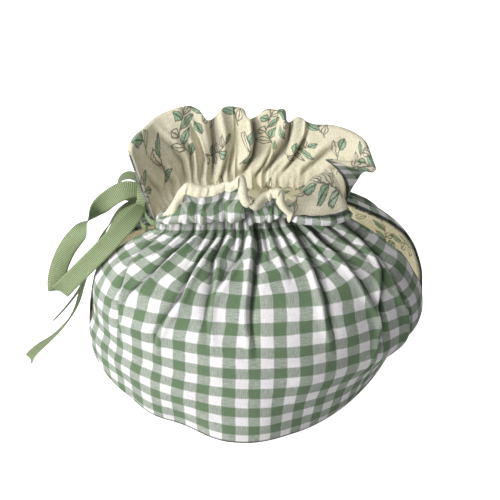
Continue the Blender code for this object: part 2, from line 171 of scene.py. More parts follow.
# The ruffle at stations round the neck: across, then how far its half-way point and its
# edge stand from the casing in x, y and z.
FRONT_RUFFLE = [
    (0.00,  3, -2, 17,    9, -8, 31),
    (0.12,  3, -2, 19,    6, -6, 37),
    (0.28,  0, -1, 17,    2, -5, 34),
    (0.40,  0, -2, 19,    0, -8, 38),
    (0.46,  0, -3, 21,   -1, -11, 42),
    (0.51, -1, -3, 14,   -3, -16, 26),
    (0.57,  0, -2, 16,    0, -8, 30),
    (0.64,  0, -3, 18,    0, -10, 33),
    (0.71, -2, 1, 16,    -3, -18, 17),
    (0.82, -8, 8, 22,     3, -20, 13),
    (0.91, -11, 10, 28,   5, -17, 11),
    (1.00, -8, 8, 27,     2, -18, 11),
]
BACK_RUFFLE = [
    (0.00, -6, 4, 20,   -14, 13, 42),
    (0.10, -7, 5, 22,   -15, 12, 47),
    (0.20, -6, 7, 24,   -15, 18, 47),
    (0.31, -4, 9, 27,   -10, 20, 50),
    (0.38, -3, 3, 23,    -6, 12, 45),
    (0.45, 0, 8, 26,     -1, 17, 48),
    (0.52, 0, 2, 22,      0, 8, 44),
    (0.60, 3, 8, 25,      6, 13, 46),
    (0.67, 2, 3, 21,      3, 7, 42),
    (0.73, 2, 7, 21,      3, 13, 39),
    (0.81, 4, 7, 21,      8, 13, 39),
    (0.88, 9, 5, 18,     19, 7, 32),
    (0.94, 9, 1, 15,     19, -5, 24),
    (1.00, -1, 4, 15,   -13, 6, 28),
]

# The ruffle's rolled rim: across; 1 where the lining rolls out over the gingham and -1 where
# the gingham rolls in over the lining; how far the turned cloth reaches below the roll; and
# how far the roll's centre is shifted, which makes it plumper.
FRONT_LIP = [
    (0.00, 1, 3.5, 0.9), (0.04, 1, 4.4, 1.0), (0.08, 1, 6.2, 1.1), (0.13, 1, 6.6, 1.2),
    (0.20, 1, 6.2, 1.1), (0.28, 1, 4.6, 1.1), (0.36, 1, 4.4, 1.0), (0.43, 1, 3.4, 1.0),
    (0.47, 1, 4.0, 1.1), (0.52, 1, 2.8, 1.0), (0.58, 1, 3.2, 1.1), (0.64, 1, 3.4, 1.0),
    (0.69, 1, 1.6, 0.7), (0.73, -0.6, 1.0, 1.2), (0.78, -1, 1.2, 1.4), (0.93, -1, 1.2, 1.4),
    (0.97, -0.5, 0.6, 0.9), (1.00, -0.2, 0.4, 0.5),
]
BACK_LIP = [
    (0.00, 0.2, 0.5, 0.5), (0.04, 0.6, 1.0, 0.7), (0.12, 1, 2.0, 0.9), (0.50, 1, 2.5, 0.9),
    (0.90, 1, 2.0, 0.9), (0.97, 0.6, 1.0, 0.7), (1.00, 0.2, 0.5, 0.5),
]

# Folds pressed into the cloth: how wide each is (mm), then its places (across, run)
# and how far in (+) or out (-) it goes there, in millimetres.
FRONT_FOLDS = [
    (2.7, (0.494, 66, 0), (0.492, 93, 3.6), (0.493, 106, 4.6), (0.502, 132, 6.2), (0.52, 146, 6.8),
     (0.52, 160, 6), (0.515, 175, 3.6), (0.512, 206, 3)),
    (2.5, (0.386, 74, 0), (0.386, 100, 3.8), (0.38, 120, 5), (0.36, 137, 5.8), (0.37, 150, 5.8),
     (0.376, 160, 5), (0.376, 172, 4), (0.38, 206, 1.6)),
    (2.2, (0.388, 106, 0), (0.411, 123, 3.8), (0.43, 134, 4.6), (0.455, 143, 4.8), (0.465, 160, 4),
     (0.462, 176, 1.6), (0.46, 190, 0)),
    (2.7, (0.672, 68, 0), (0.671, 90, 4), (0.677, 106, 5), (0.678, 118, 5.8), (0.69, 136, 6.6),
     (0.699, 150, 6.4), (0.702, 163, 4.4), (0.706, 182, 1.5)),
    (2.4, (0.803, 64, 0), (0.799, 96, 3.6), (0.792, 135, 5.4), (0.785, 152, 5.4), (0.78, 163, 3),
     (0.78, 180, 0)),
    (1.9, (0.55, 132, 0), (0.552, 146, 2.6), (0.556, 160, 3.2), (0.562, 180, 0)),
    (2.3, (0.168, 88, 0), (0.178, 105, 3.8), (0.203, 120, 5), (0.202, 141, 5.2), (0.228, 158, 4.6),
     (0.244, 173, 2.5), (0.25, 198, 0.4)),
    (2.4, (0.252, 60, 0), (0.262, 79, 3.2), (0.28, 91, 4.2), (0.312, 109, 5.2), (0.308, 126, 5.6),
     (0.312, 140, 5.6), (0.334, 156, 5), (0.338, 164, 3), (0.34, 184, 0)),
    (2.4, (0.152, 54, 0), (0.156, 76, 3.6), (0.152, 100, 4.8), (0.106, 124, 4.6),
     (0.086, 145, 4.2), (0.08, 160, 3.6), (0.08, 186, 0)),
    (1.9, (0.036, 90, 0), (0.042, 120, 2.6), (0.046, 160, 3.2), (0.048, 196, 0.6)),
    (1.8, (0.288, 128, 0), (0.286, 144, 2.8), (0.29, 160, 3.4), (0.292, 180, 0)),
    (1.7, (0.15, 126, 0), (0.154, 144, 2.8), (0.16, 160, 3.4), (0.164, 180, 0)),
    (1.7, (0.424, 136, 0), (0.424, 148, 2.4), (0.424, 160, 3), (0.424, 178, 0)),
    (2.0, (0.6, 118, 0), (0.598, 138, 3), (0.596, 160, 4), (0.59, 206, 1.8)),
    (1.7, (0.646, 128, 0), (0.642, 146, 2.8), (0.64, 160, 3.4), (0.638, 184, 0)),
    (1.8, (0.74, 118, 0), (0.737, 140, 2.8), (0.732, 160, 3.6), (0.728, 182, 0)),
    (1.8, (0.856, 118, 0), (0.858, 138, 2.8), (0.86, 160, 3.6), (0.862, 184, 0)),
    (2.5, (0.778, 40, 0), (0.784, 61, 4.6), (0.8, 84, 6.2), (0.815, 97, 6.8), (0.868, 117, 6.8),
     (0.893, 129, 6), (0.918, 148, 5), (0.925, 160, 3.8), (0.93, 182, 0)),
    (2.7, (0.89, 34, 0), (0.89, 58, 5.6), (0.884, 84, 7.6), (0.884, 104, 8), (0.915, 127, 7.6),
     (0.945, 150, 5.4), (0.955, 160, 3), (0.955, 180, 0)),
    # Crumples of the ruffle, fanning out from where the drawstring pinches it.
    (2.2, (0.38, 166, 0), (0.335, 174, 3.2), (0.262, 184, 3.2), (0.205, 193, 1.6),
     (0.18, 200, 0)),
    (2.2, (0.44, 165, 0), (0.478, 174, 4), (0.502, 186, 5.2), (0.51, 206, 4.4)),
    (2.2, (0.58, 165, 0), (0.622, 174, 3.8), (0.668, 186, 5), (0.69, 206, 4)),
    (1.9, (0.25, 166, 0), (0.208, 177, 2.6), (0.14, 188, 2.4), (0.1, 197, 0.4)),
    (1.8, (0.56, 165, 0), (0.566, 175, 2.2), (0.585, 188, 1.8), (0.6, 200, 0.4)),
    (8.5, (0.28, 168, 0), (0.272, 182, -3), (0.262, 198, -1.6)),
    (8.0, (0.44, 170, 0), (0.448, 184, -2.8), (0.45, 198, -1.6)),
    (8.0, (0.6, 170, 0), (0.595, 184, -2.8), (0.592, 198, -1.6)),
]
BACK_FOLDS = [
    (2.2, (0.08, 84, 0), (0.08, 120, 3), (0.08, 156, 4), (0.08, 168, 0)),
    (2.3, (0.15, 68, 0), (0.157, 110, 3.4), (0.16, 156, 5.2), (0.16, 168, 0)),
    (2.2, (0.255, 88, 0), (0.252, 122, 3), (0.25, 156, 4.2), (0.25, 168, 0)),
    (2.5, (0.345, 64, 0), (0.342, 108, 3.8), (0.34, 156, 6), (0.34, 168, 0)),
    (2.2, (0.425, 88, 0), (0.428, 122, 3), (0.43, 156, 4.2), (0.43, 168, 0)),
    (2.5, (0.515, 66, 0), (0.512, 108, 3.8), (0.51, 156, 6), (0.51, 168, 0)),
    (2.3, (0.605, 84, 0), (0.608, 120, 3.2), (0.61, 156, 5), (0.61, 168, 0)),
    (2.2, (0.705, 76, 0), (0.702, 116, 3), (0.7, 156, 4.4), (0.7, 168, 0)),
    (2.5, (0.79, 60, 0), (0.785, 104, 3.6), (0.78, 156, 5.6), (0.78, 168, 0)),
    (2.2, (0.885, 84, 0), (0.882, 120, 3), (0.88, 156, 4.2), (0.88, 168, 0)),
    (1.7, (0.205, 108, 0), (0.205, 156, 3.2), (0.205, 166, 0)),
    (1.7, (0.3, 112, 0), (0.298, 156, 3.2), (0.298, 166, 0)),
    (1.7, (0.387, 108, 0), (0.386, 156, 3.4), (0.386, 166, 0)),
    (1.7, (0.47, 114, 0), (0.47, 156, 3.2), (0.47, 166, 0)),
    (1.7, (0.56, 108, 0), (0.56, 156, 3.4), (0.56, 166, 0)),
    (1.7, (0.655, 112, 0), (0.655, 156, 3.2), (0.655, 166, 0)),
    (1.7, (0.74, 108, 0), (0.74, 156, 3.4), (0.74, 166, 0)),
    (1.7, (0.835, 112, 0), (0.834, 156, 3.2), (0.834, 166, 0)),
    # Creases that open on the lining's side of the ruffle: three deep ones that notch the
    # rim, and shorter ones that fan out from the drawstring.
    (2.6, (0.35, 162, 0), (0.37, 170, -5.6), (0.388, 180, -8), (0.396, 192, -8.8),
     (0.396, 206, -7.4)),
    (2.6, (0.47, 162, 0), (0.5, 169, -5.6), (0.535, 180, -8), (0.545, 192, -8.4),
     (0.534, 206, -7.2)),
    (2.5, (0.56, 162, 0), (0.598, 168, -5.6), (0.64, 180, -7.6), (0.665, 194, -8),
     (0.672, 206, -6.8)),
    (1.7, (0.29, 162, 0), (0.318, 168, -4), (0.338, 177, -4.6), (0.33, 188, -3), (0.3, 200, -0.8),
     (0.29, 205, 0)),
    (1.7, (0.235, 162, 0), (0.248, 169, -4), (0.25, 178, -4.4), (0.222, 189, -3.6),
     (0.186, 199, -1.6), (0.165, 205, 0)),
    (1.6, (0.19, 162, 0), (0.19, 170, -3.8), (0.168, 181, -3.6), (0.128, 191, -2.2),
     (0.1, 198, 0)),
    (1.5, (0.262, 164, 0), (0.282, 172, -3.4), (0.288, 181, -2.8), (0.276, 190, 0)),
    (2.0, (0.636, 162, 0), (0.67, 170, -4.2), (0.708, 181, -4.8), (0.738, 194, -3.4),
     (0.75, 206, -1.4)),
    (1.8, (0.716, 162, 0), (0.76, 170, -4.2), (0.8, 179, -4.6), (0.835, 190, -2.8),
     (0.86, 202, 0)),
    (1.6, (0.42, 162, 0), (0.432, 169, -3.6), (0.446, 178, -2.6), (0.452, 187, 0)),
    (1.5, (0.385, 162, 0), (0.402, 167, -3.4), (0.418, 174, -2.2), (0.425, 181, 0)),
    (1.6, (0.53, 162, 0), (0.556, 167, -3.6), (0.588, 175, -3), (0.604, 185, 0)),
    (1.5, (0.6, 162, 0), (0.628, 167, -3.2), (0.65, 173, -2.4), (0.668, 180, 0)),
    (1.6, (0.13, 162, 0), (0.118, 172, -3.4), (0.084, 183, -2.4), (0.06, 190, 0)),
    (1.6, (0.82, 162, 0), (0.846, 170, -3.4), (0.868, 180, -2.2), (0.88, 188, 0)),
    # The puffed lobes between them.
    (11.0, (0.3, 176, 0), (0.29, 190, 3), (0.28, 206, 3.2)),
    (8.0, (0.445, 178, 0), (0.45, 190, 3.2), (0.452, 206, 3.4)),
    (8.0, (0.6, 178, 0), (0.6, 190, 3.2), (0.596, 206, 3.4)),
    (7.0, (0.73, 186, 0), (0.728, 196, 2.4), (0.726, 206, 2.8)),
]
# The drawstring's small pleats: how many, their height, and how far they run down and up.
Pleats = namedtuple("Pleats", "seed count height down up gather")
FRONT_PLEATS = Pleats(11, 14, 1.3, 30, 9, 164)
BACK_PLEATS = Pleats(23, 24, 2.0, 34, 14, 161)

# Where the ruffle's rim dips (+) or peaks (-) between its stations: across, how far and over
# what half width.
FRONT_NOTCHES = [(0.0, 22.0, 0.17), (0.505, 1.0, 0.035), (0.455, -1.5, 0.03), (0.69, 2.0, 0.03)]
BACK_NOTCHES = [
    (0.120, 1.5, 0.10), (0.300, 1.5, 0.07), (0.392, 5.0, 0.040), (0.452, 2.5, 0.04),
    (0.530, 5.0, 0.045), (0.596, 2.0, 0.04), (0.668, 5.5, 0.040), (0.755, 2.0, 0.05),
    (0.800, 3.4, 0.100),
]
# The pinch of the drawstring, and the puff of the ruffle just above it: run, depth, width.
FRONT_PINCH = [(165.5, 5.6, 3.6), (178, -5.2, 7.5)]
BACK_PINCH = [(160, 3.0, 4.0), (178, -1.0, 9.0)]

Panel = namedtuple("Panel", "sections hem ruffle lip folds pleats notches pinch outward")
FRONT = Panel(FRONT_SECTIONS, FRONT_HEM, FRONT_RUFFLE, FRONT_LIP, FRONT_FOLDS, FRONT_PLEATS,
              FRONT_NOTCHES, FRONT_PINCH, -1)
BACK = Panel(BACK_SECTIONS, BACK_HEM, BACK_RUFFLE, BACK_LIP, BACK_FOLDS, BACK_PLEATS,
             BACK_NOTCHES, BACK_PINCH, 1)

# ---------------------------------------------------------------- the ribbon

# The routes of the ribbon: x, y and z of its middle, the way across it, and its width.
LEAD_FRONT = [
    (-58.4, -13.2, 131.5, 0, 0, 1, 3.5),
    (-62.5, -11.6, 132, 0, 0, 1, 4),
    (-66, -5, 134, 0, 0, 1, 4),
    (-66.5, 3, 136, 0, 0, 1, 4),
    (-66.5, 8, 137.5, 0, 0, 1, 4),
]
LEAD_BACK = [
    (-64.2, -9, 126.3, 0, 0, 1, 3),
    (-66, -9.9, 126.6, 0, 0, 1, 3.5),
    (-68, -8.4, 127.2, 0, 0, 1, 4),
    (-69.6, -4.5, 128.5, 0, 0, 1, 4),
    (-70, 1, 131, 0, 0, 1, 4),
    (-69, 7, 134, 0, 0, 1, 4),
]
LOOP_FRONT = [
    (-66, 13, 140, 0, 0.53, 0.85, 5),
    (-71, 12, 142, 0, 0.53, 0.85, 9),
    (-80, 10, 142.5, -0.15, 0.53, 0.84, 12),
    (-89, 9, 138, -0.45, 0.47, 0.75, 12),
    (-97, 8, 131, -0.50, -0.10, 0.86, 12),
    (-103, 6, 123, -0.10, -0.86, 0.50, 12),
    (-111, 4, 114, 0.65, -0.55, -0.40, 12),
    (-119, 2, 104, 0.82, -0.30, -0.50, 12),
    (-125, 0, 92, 0.93, -0.19, -0.32, 12),
    (-127.5, -3.5, 82, 0.93, -0.12, -0.36, 12.5),
    (-126.5, -8, 75.8, 0.88, -0.06, -0.46, 13),
    (-123.5, -11.5, 79, 0.82, -0.20, -0.52, 12.5),
    (-118, -13.5, 86, 0.74, -0.35, -0.58, 12),
    (-107, -16, 99, 0.71, -0.37, -0.60, 12),
    (-95, -16, 112, 0.71, -0.37, -0.60, 12),
    (-85, -13, 122, 0.72, -0.37, -0.58, 12),
    (-76, -7, 130, 0.73, -0.35, -0.56, 11),
    (-70, 1, 134, 0.70, -0.36, -0.60, 8),
    (-67, 8, 134.5, 0.60, -0.30, -0.70, 5),
]
LOOP_BACK = [
    (-65, 15, 140, 0, 1, 0, 5),
    (-74, 21, 146, 0, 1, 0, 9),
    (-81, 25, 145, 0, 1, 0, 11),
    (-86, 27, 140, 0, 1, 0, 11),
    (-87, 27, 134.5, 0, 1, 0, 11),
    (-83, 25.5, 130.5, 0, 1, 0, 11),
    (-76, 22, 130.5, 0, 1, 0, 9),
    (-69, 15, 134, 0, 1, 0, 5),
]
TAIL_LONG = [
    (-67, 11, 132, -0.10, 0.70, 0.70, 5),
    (-76, 8, 129, 0, 0.87, 0.50, 8),
    (-85, 3.5, 125, 0.08, 0.97, 0.15, 10),
    (-93, -1, 116, 0.15, 0.97, -0.10, 11),
    (-98.5, -4, 106, 0.18, 0.96, -0.20, 12),
    (-104.5, -5, 94, 0.18, 0.95, -0.25, 12),
    (-110, -5, 80, 0.18, 0.95, -0.25, 12),
    (-116.5, -3, 60, 0.18, 0.95, -0.20, 12),
    (-127, 0, 42, 0.16, 0.97, -0.10, 12),
    (-138, 3, 28, 0.10, 0.98, -0.05, 12),
    (-148, 5, 18, -0.15, 0.97, 0, 12),
    (-155, 6, 9, -0.40, 0.90, 0.08, 12),
]
TAIL_SHORT = [
    (-67.5, 15, 133, -0.10, 0.70, 0.70, 5),
    (-77.5, 16, 128, 0, 0.87, 0.50, 8),
    (-86.5, 15, 122, 0.10, 0.97, 0.20, 10),
    (-94, 12.5, 113, 0.20, 0.95, -0.10, 11),
    (-99.5, 10.5, 103, 0.25, 0.94, -0.20, 11),
    (-104.5, 10, 92, 0.25, 0.94, -0.20, 11),
    (-109, 10, 79, 0.25, 0.94, -0.20, 11),
    (-115, 11, 66, 0.25, 0.94, -0.20, 11),
    (-124, 11, 53, 0.25, 0.94, -0.20, 11),
    (-133, 11, 42, 0.25, 0.94, -0.20, 11),
]
# The band of the knot, wound once and a bit round the crossing ribbons.
KNOT_BAND = [
    (-68, 5.5, 139.5, 0.9, 0.3, 0.1, 7),
    (-68.5, 4.3, 135.5, 0.95, 0.2, -0.1, 8.5),
    (-68.5, 6.5, 131, 0.95, 0.1, -0.1, 9),
    (-68, 12, 129.2, 0.95, 0, -0.1, 9),
    (-67, 17.5, 131, 0.95, 0, 0, 9),
    (-66.5, 19.2, 136.5, 0.95, 0, 0.1, 9),
    (-66.5, 17, 142.5, 0.95, 0, 0.2, 9),
    (-67, 11.5, 145, 0.95, 0, 0.1, 9),
    (-67.5, 6, 143, 0.95, -0.1, 0, 9),
    (-67.5, 3.4, 138, 0.95, -0.1, -0.1, 8.5),
    (-68, 5, 132.5, 0.95, -0.1, -0.2, 7.5),
]
RIBBON_STEPS = 6         # rings for each row of a route
RIBBON_SEGMENTS = 8      # faces across the ribbon
RIBBON_THICK = 0.5
RIBBON_EDGE = 0.35       # how thick its woven edge is, as a part of that
RIBBON_CUP = 0.06        # how far the ribbon's middle bows out, as a part of its width


def linear(hex_colour):
    """An sRGB hex colour as linear red, green, blue and alpha."""
    channels = [int(hex_colour[index:index + 2], 16) / 255 for index in (1, 3, 5)]
    return (*(c / 12.92 if c <= 0.04045 else ((c + 0.055) / 1.055) ** 2.4 for c in channels), 1)


def ease(value):
    """0 to 1 smoothly, and flat outside."""
    value = np.clip(value, 0, 1)
    return value * value * (3 - 2 * value)


def rounded(part):
    """0 to 1 as a quarter circle rises, and flat outside."""
    return np.sqrt(np.clip(1 - (1 - np.clip(part, 0, 1)) ** 2, 0, 1))


def bell(away, width):
    """1 in the middle, falling off over a width."""
    return np.exp(-(away / width) ** 2)


def hump(across, middle, height, half_width):
    """A smooth hump that ends at its half width."""
    away = np.abs(across - middle) / half_width
    return np.where(away < 1, height * (1 + np.cos(math.pi * away)) / 2, 0)


def unit(vectors):
    """Vectors of length one."""
    return vectors / np.maximum(np.linalg.norm(vectors, axis=-1, keepdims=True), 1e-9)


def step_lengths(points, axis):
    """How far it is from each point to the next along an axis."""
    return np.linalg.norm(np.diff(points, axis=axis), axis=-1)


def summed(steps):
    """How far along each point is, from 0 at the first."""
    return np.insert(np.cumsum(steps, axis=-1), 0, 0, axis=-1)


def between(values):
    """The mean of each column and the next."""
    return (values[:, 1:] + values[:, :-1]) / 2


def blur(grid, times, axis):
    """Each point of a grid eased towards its neighbours along one axis."""
    grid = np.moveaxis(grid, axis, 0)
    for _ in range(times):
        behind = np.concatenate([grid[:1], grid[:-1]])
        ahead = np.concatenate([grid[1:], grid[-1:]])
        grid = (behind + 2 * grid + ahead) / 4
    return np.ascontiguousarray(np.moveaxis(grid, 0, axis))


def read_table(table, at):
    """Every column of a table at many places between its rows, without overshoot.

    The rows stand in the order of their first column, in which the places are given.
    """
    rows = np.array(table, float)
    keys = rows[:, 0]
    steps = np.diff(rows, axis=0) / np.diff(keys)[:, None]
    before, after = steps[:-1], steps[1:]
    total = np.where(np.abs(before + after) < 1e-12, 1, before + after)
    inner = np.where(before * after <= 0, 0, 2 * before * after / total)
    slopes = np.vstack([steps[:1], inner, steps[-1:]])
    at = np.clip(at, keys[0], keys[-1])
    low = np.clip(np.searchsorted(keys, at, side="right") - 1, 0, len(keys) - 2)
    span = (keys[low + 1] - keys[low])[:, None]
    part = ((at - keys[low]) / span[:, 0])[:, None]
    square, cube = part ** 2, part ** 3
    return ((2 * cube - 3 * square + 1) * rows[low]
            + (cube - 2 * square + part) * span * slopes[low]
            + (3 * square - 2 * cube) * rows[low + 1] + (cube - square) * span * slopes[low + 1])


def girths(sections, runs, across):
    """The body at each run and part of the way across, evenly on the cloth."""
    _, left_x, left_y, left_z, mid_y, mid_z, right_x, right_y, right_z, bow = (
        column[:, None] for column in read_table(sections, runs).T)
    turn = np.linspace(0, math.pi, GIRTH_STEPS)[None, :]
    part = (1 - np.cos(turn)) / 2
    swell = np.clip(np.sin(turn), 0, 1) ** bow
    side_z = np.where(part < 0.5, left_z, right_z)
    points = np.stack([
        left_x + (right_x - left_x) * part,
        left_y + (right_y - left_y) * part + (mid_y - (left_y + right_y) / 2) * swell,
        mid_z + (side_z - mid_z) * np.abs(np.cos(turn)) ** SIDE_RISE], axis=-1)
    lengths = summed(step_lengths(points, 1))
    return np.array([np.stack([np.interp(across * length[-1], length, row[:, axis])
                               for axis in range(3)], axis=-1)
                     for length, row in zip(lengths, points)])


def panel_columns():
    """Where the grid's columns stand: close together at the edges."""
    edge = [0, 0.001, 0.0024, 0.0042, 0.0066, 0.009, 0.0112, 0.0134, 0.016, 0.019]
    inner = np.linspace(0.0225, 1 - 0.0225, 306)
    return np.concatenate([edge, inner, 1 - np.array(edge[::-1])])


def panel_runs():
    """Where the grid's rows stand, from the hem to the ruffle's rim."""
    hem = [0, 0.4, 0.9, 1.5, 2.2, 3.0, 3.7, 4.4, 5.2, 6.2]
    return np.concatenate([hem, np.linspace(8, 120, 50), np.linspace(121.7, RIM_RUN, 50)])


def near_path(places, place_x, place_y, runs, widths):
    """How far each point of the flat panel is from a fold's path, the depth there, and the
    side."""
    places = np.array(places, float)
    x = (places[:, 0] - 0.5) * np.interp(places[:, 1], runs, widths)
    y, depth = places[:, 1], places[:, 2]
    nearest = np.full_like(place_x, 1e9)
    pressed, side = np.zeros_like(place_x), np.ones_like(place_x)
    for index in range(len(places) - 1):
        along = np.array([x[index + 1] - x[index], y[index + 1] - y[index]])
        from_x, from_y = place_x - x[index], place_y - y[index]
        part = np.clip((from_x * along[0] + from_y * along[1]) / (along @ along), 0, 1)
        away = np.hypot(from_x - part * along[0], from_y - part * along[1])
        closer = away < nearest
        nearest = np.where(closer, away, nearest)
        reached = depth[index] + (depth[index + 1] - depth[index]) * part
        pressed = np.where(closer, reached, pressed)
        turn = along[0] * from_y - along[1] * from_x
        side = np.where(closer, np.where(turn > 0, -1, 1), side)
    return nearest, pressed, side


def fold_field(folds, across, runs, widths):
    """How far the folds press the cloth in, where they hide the gathered cloth, and how deep
    the lines of their creases are, which sets the painted shade along them, on the gingham's
    side and on the lining's."""
    place_x = (across[None, :] - 0.5) * widths[:, None]
    place_y = np.broadcast_to(runs[:, None], place_x.shape)
    field, hiding = np.zeros_like(place_x), np.zeros_like(place_x)
    creases = np.zeros((2, *place_x.shape))
    for width, *places in folds:
        nearest, pressed, side = near_path(places, place_x, place_y, runs, widths)
        # The steeper flank and its crest are on the side of the panel's middle.
        inner = nearest * side * (1 if places[0][0] < PLEAT_TURN else -1)
        flank = width * np.where(inner > 0, STEEP, GENTLE)
        field += pressed * (np.exp(-(nearest / flank) ** FOLD_POWER)
                            - SHOULDER * bell(nearest, SHOULDER_WIDTH * width)
                            - RIDGE * bell(inner - RIDGE_AWAY * width, RIDGE_WIDTH * width))
        # The line of painted shade along a narrow fold's crease, on either cloth's side.
        if width < BROAD_FOLD:
            line = pressed * bell(nearest, CREASE_WIDTH + CREASE_SPREAD * np.abs(pressed))
            creases = np.maximum(creases, [line, -line])
        (_, first_run, _), (last_across, last_run, _) = places[0], places[-1]
        if width > BROAD_FOLD or last_run < CASING_RUN or first_run > CASING_RUN:
            continue
        # What a fold hides at the drawstring, it hides up to the ruffle's rim.
        _, at_runs, depths = zip(*places)
        at_casing = np.interp(CASING_RUN, at_runs, depths)
        kept = [(at, run, depth if run < CASING_RUN else at_casing) for at, run, depth in places]
        kept.append((last_across, max(RIM_RUN, last_run + 1), at_casing))
        nearest, pressed, _ = near_path(kept, place_x, place_y, runs, widths)
        hiding += pressed ** 2 * bell(nearest, HIDING_WIDTH * width)
    return field, hiding, creases


def pleat_field(pleats, across, runs):
    """The drawstring's small pleats: round on top and sharp between, each its own length."""
    random = np.random.default_rng(pleats.seed)
    stations = summed(random.uniform(0.6, 1.4, pleats.count))
    stations /= stations[-1]
    down, up, height = (
        np.interp(across, stations, size * random.uniform(*spread, pleats.count + 1))[None, :]
        for size, spread in ((pleats.down, (0.5, 1.6)), (pleats.up, (0.5, 1.6)),
                             (pleats.height, (0.6, 1.3))))
    runs = runs[:, None]
    wander = 0.12 * np.sin(runs / 17.0 + 1.7) * np.sin(across * 37)[None, :]
    count = np.interp(across, stations, np.arange(pleats.count + 1))[None, :] + wander
    strength = np.where(runs <= pleats.gather, ease(1 - (pleats.gather - runs) / down),
                        ease(1 - (runs - pleats.gather) / up)) * height
    return strength * (0.62 - np.abs(np.sin(math.pi * count)))


def lumps(across, runs, widths):
    """The gentle unevenness of a soft body, in millimetres."""
    x = (across[None, :] - 0.5) * widths[:, None]
    y = runs[:, None]
    return (0.5 * np.sin(x / 19 + 1.3 * np.sin(y / 27)) * np.sin(y / 23 + 0.7)
            + 0.35 * np.sin(x / 8.3 + y / 31 + 2.1) * np.sin(y / 14 + x / 47)
            + 0.15 * np.sin(x / 4.1 - y / 9.0) * np.sin(y / 6.3 + x / 11.0))


def smooth_panel(panel, across, runs):
    """A panel before its folds are pressed in, and the real length of each of its rows."""
    body = runs[runs <= CASING_RUN]
    points = girths(panel.sections, body, across)
    for wave in panel.hem:
        push = hump(across, *wave)
        low = ease(1 - body / HEM_WAVE_RUN)[:, None]
        points[:, :, 1] += panel.outward * push[None, :] * low
    root = girths(panel.sections, np.array([CASING_RUN]), across)
    flare = read_table(panel.ruffle, across)[None]
    part = ((runs[runs > CASING_RUN] - CASING_RUN) / RUFFLE_RUN)[:, None, None]
    ruffle = (root + flare[..., 1:4] * (4 * part * (1 - part))
              + flare[..., 4:7] * (part * (2 * part - 1)))
    for notch in panel.notches:
        drop = hump(across, *notch)
        ruffle[:, :, 2] -= drop[None, :] * part[:, :, 0] ** 2
    points = np.concatenate([points, ruffle])
    return points, step_lengths(points, 1).sum(1)


def ways_out(points, panel, across, runs, widths):
    """The way out of the body at each point, turned to the side along the seams, where the
    two panels meet."""
    along, up = np.gradient(points, axis=1), np.gradient(points, axis=0)
    ways = unit(np.cross(along, up) * -panel.outward)
    ways = unit(blur(blur(ways, 10, 1), 6, 0))
    turn = np.clip(1 - (runs - SEAM_RUN) / SLIT_TURN_RUN, 0, 1)[:, None]
    sewn = (runs <= SEAM_RUN)[:, None]
    for side, from_edge in ((-1, across), (1, 1 - across)):
        away = from_edge[None, :] * widths[:, None]
        share = (1 - ease(away / SEAM_TURN)) * turn * np.where(sewn, SEAM_PULL, 1.0)
        ways = unit(ways + np.array([side, 0, 0]) * share[..., None])
        gap = SEAM_GAP / 2 * (1 - ease(away / SEAM_GAP_WIDTH)) * sewn
        points[:, :, 1] += panel.outward * gap
    ways[..., 2] *= np.clip(runs / LEVEL_RUN, 0, 1)[:, None]
    return unit(ways)


def along_warp(points, flat_u):
    """How much of a step along a row is a step along the warp threads."""
    even_u = blur(blur(flat_u, 60, 1), 6, 0)
    along, up = np.gradient(points, axis=1), np.gradient(points, axis=0)
    slip = np.gradient(even_u, axis=0) / np.maximum(np.gradient(even_u, axis=1), 1e-4)
    warp = unit(up - along * np.clip(slip, -20, 20)[..., None])
    return (warp * unit(along)).sum(-1)


def flat_places(points, smooth, hiding, across, runs):
    """Each point's place on the flat cloth in mm, and on a cloth only as wide as it shows."""
    steps = step_lengths(points, 1)
    # One thread stays upright, in the plane x = UPRIGHT_THREAD.
    threads = np.array([np.interp(UPRIGHT_THREAD, row, across) for row in smooth[:, :, 0]])
    threads[runs > CASING_RUN] = np.interp(CASING_RUN, runs, threads)
    # Above the drawstring the cloth spreads out of its folds again.
    opened = RUFFLE_OPENS * ease((runs - CASING_RUN - OPENS_UP) / OPENS_RUN)[:, None]
    hiding = hiding + (blur(hiding, OPENS_PASSES, 1) - hiding) * opened
    # What is gathered in hides mostly at the bottom of the folds, on its own side of it.
    hidden = between(hiding) * steps
    even = np.interp(runs, *EVEN_GATHER)
    hidden = hidden + steps * (even * hidden.sum(1) / steps.sum(1) + 1e-6)[:, None]
    left = between(across[None, :]) < threads[:, None]
    for half in (left, ~left):
        lengths = (steps * half).sum(1)
        full = np.interp(FULL_WIDTH_RUN, runs, lengths)
        cut = np.where(runs < FULL_WIDTH_RUN, lengths, np.maximum(full, lengths))
        more = (cut - lengths) / (hidden * half).sum(1)
        hidden = np.where(half, hidden * more[:, None], hidden)

    def from_thread(spread):
        place = summed(spread)
        upright = [np.interp(thread, across, row) for thread, row in zip(threads, place)]
        return place - np.array(upright)[:, None]

    flat_u, shown_u = from_thread(steps + hidden), from_thread(steps)
    # Below the full width the threads fall straight, so the rounded hem cuts across them.
    widest = int(np.argmax(runs >= FULL_WIDTH_RUN))
    for row in range(widest):
        x, top = smooth[row, :, 0] - UPRIGHT_THREAD, smooth[widest, :, 0] - UPRIGHT_THREAD
        x = np.where(x < 0, x * top[0] / x[0], x * top[-1] / x[-1])
        flat_u[row] += STRAIGHT_FALL * (np.interp(x, top, flat_u[widest]) - flat_u[row])
    rise = points[0, :, 2][None, :] * np.clip(1 - runs / FULL_WIDTH_RUN, 0, 1)[:, None]
    plain_v = runs[:, None] + rise + CHECK_START[1]
    # Between the folds the weft stays square to the leaning warp; the folds make up for it.
    slope = between(along_warp(smooth, flat_u))
    drift = slope * steps * (WEFT_TURN * ease((runs - WEFT_UP) / WEFT_RUN))[:, None]
    hides = hidden + 1e-3 * steps
    drift = drift - hides * blur(drift, WEFT_PASSES, 1) / blur(hides, WEFT_PASSES, 1)
    return flat_u + CHECK_START[0], plain_v + from_thread(drift), shown_u, plain_v


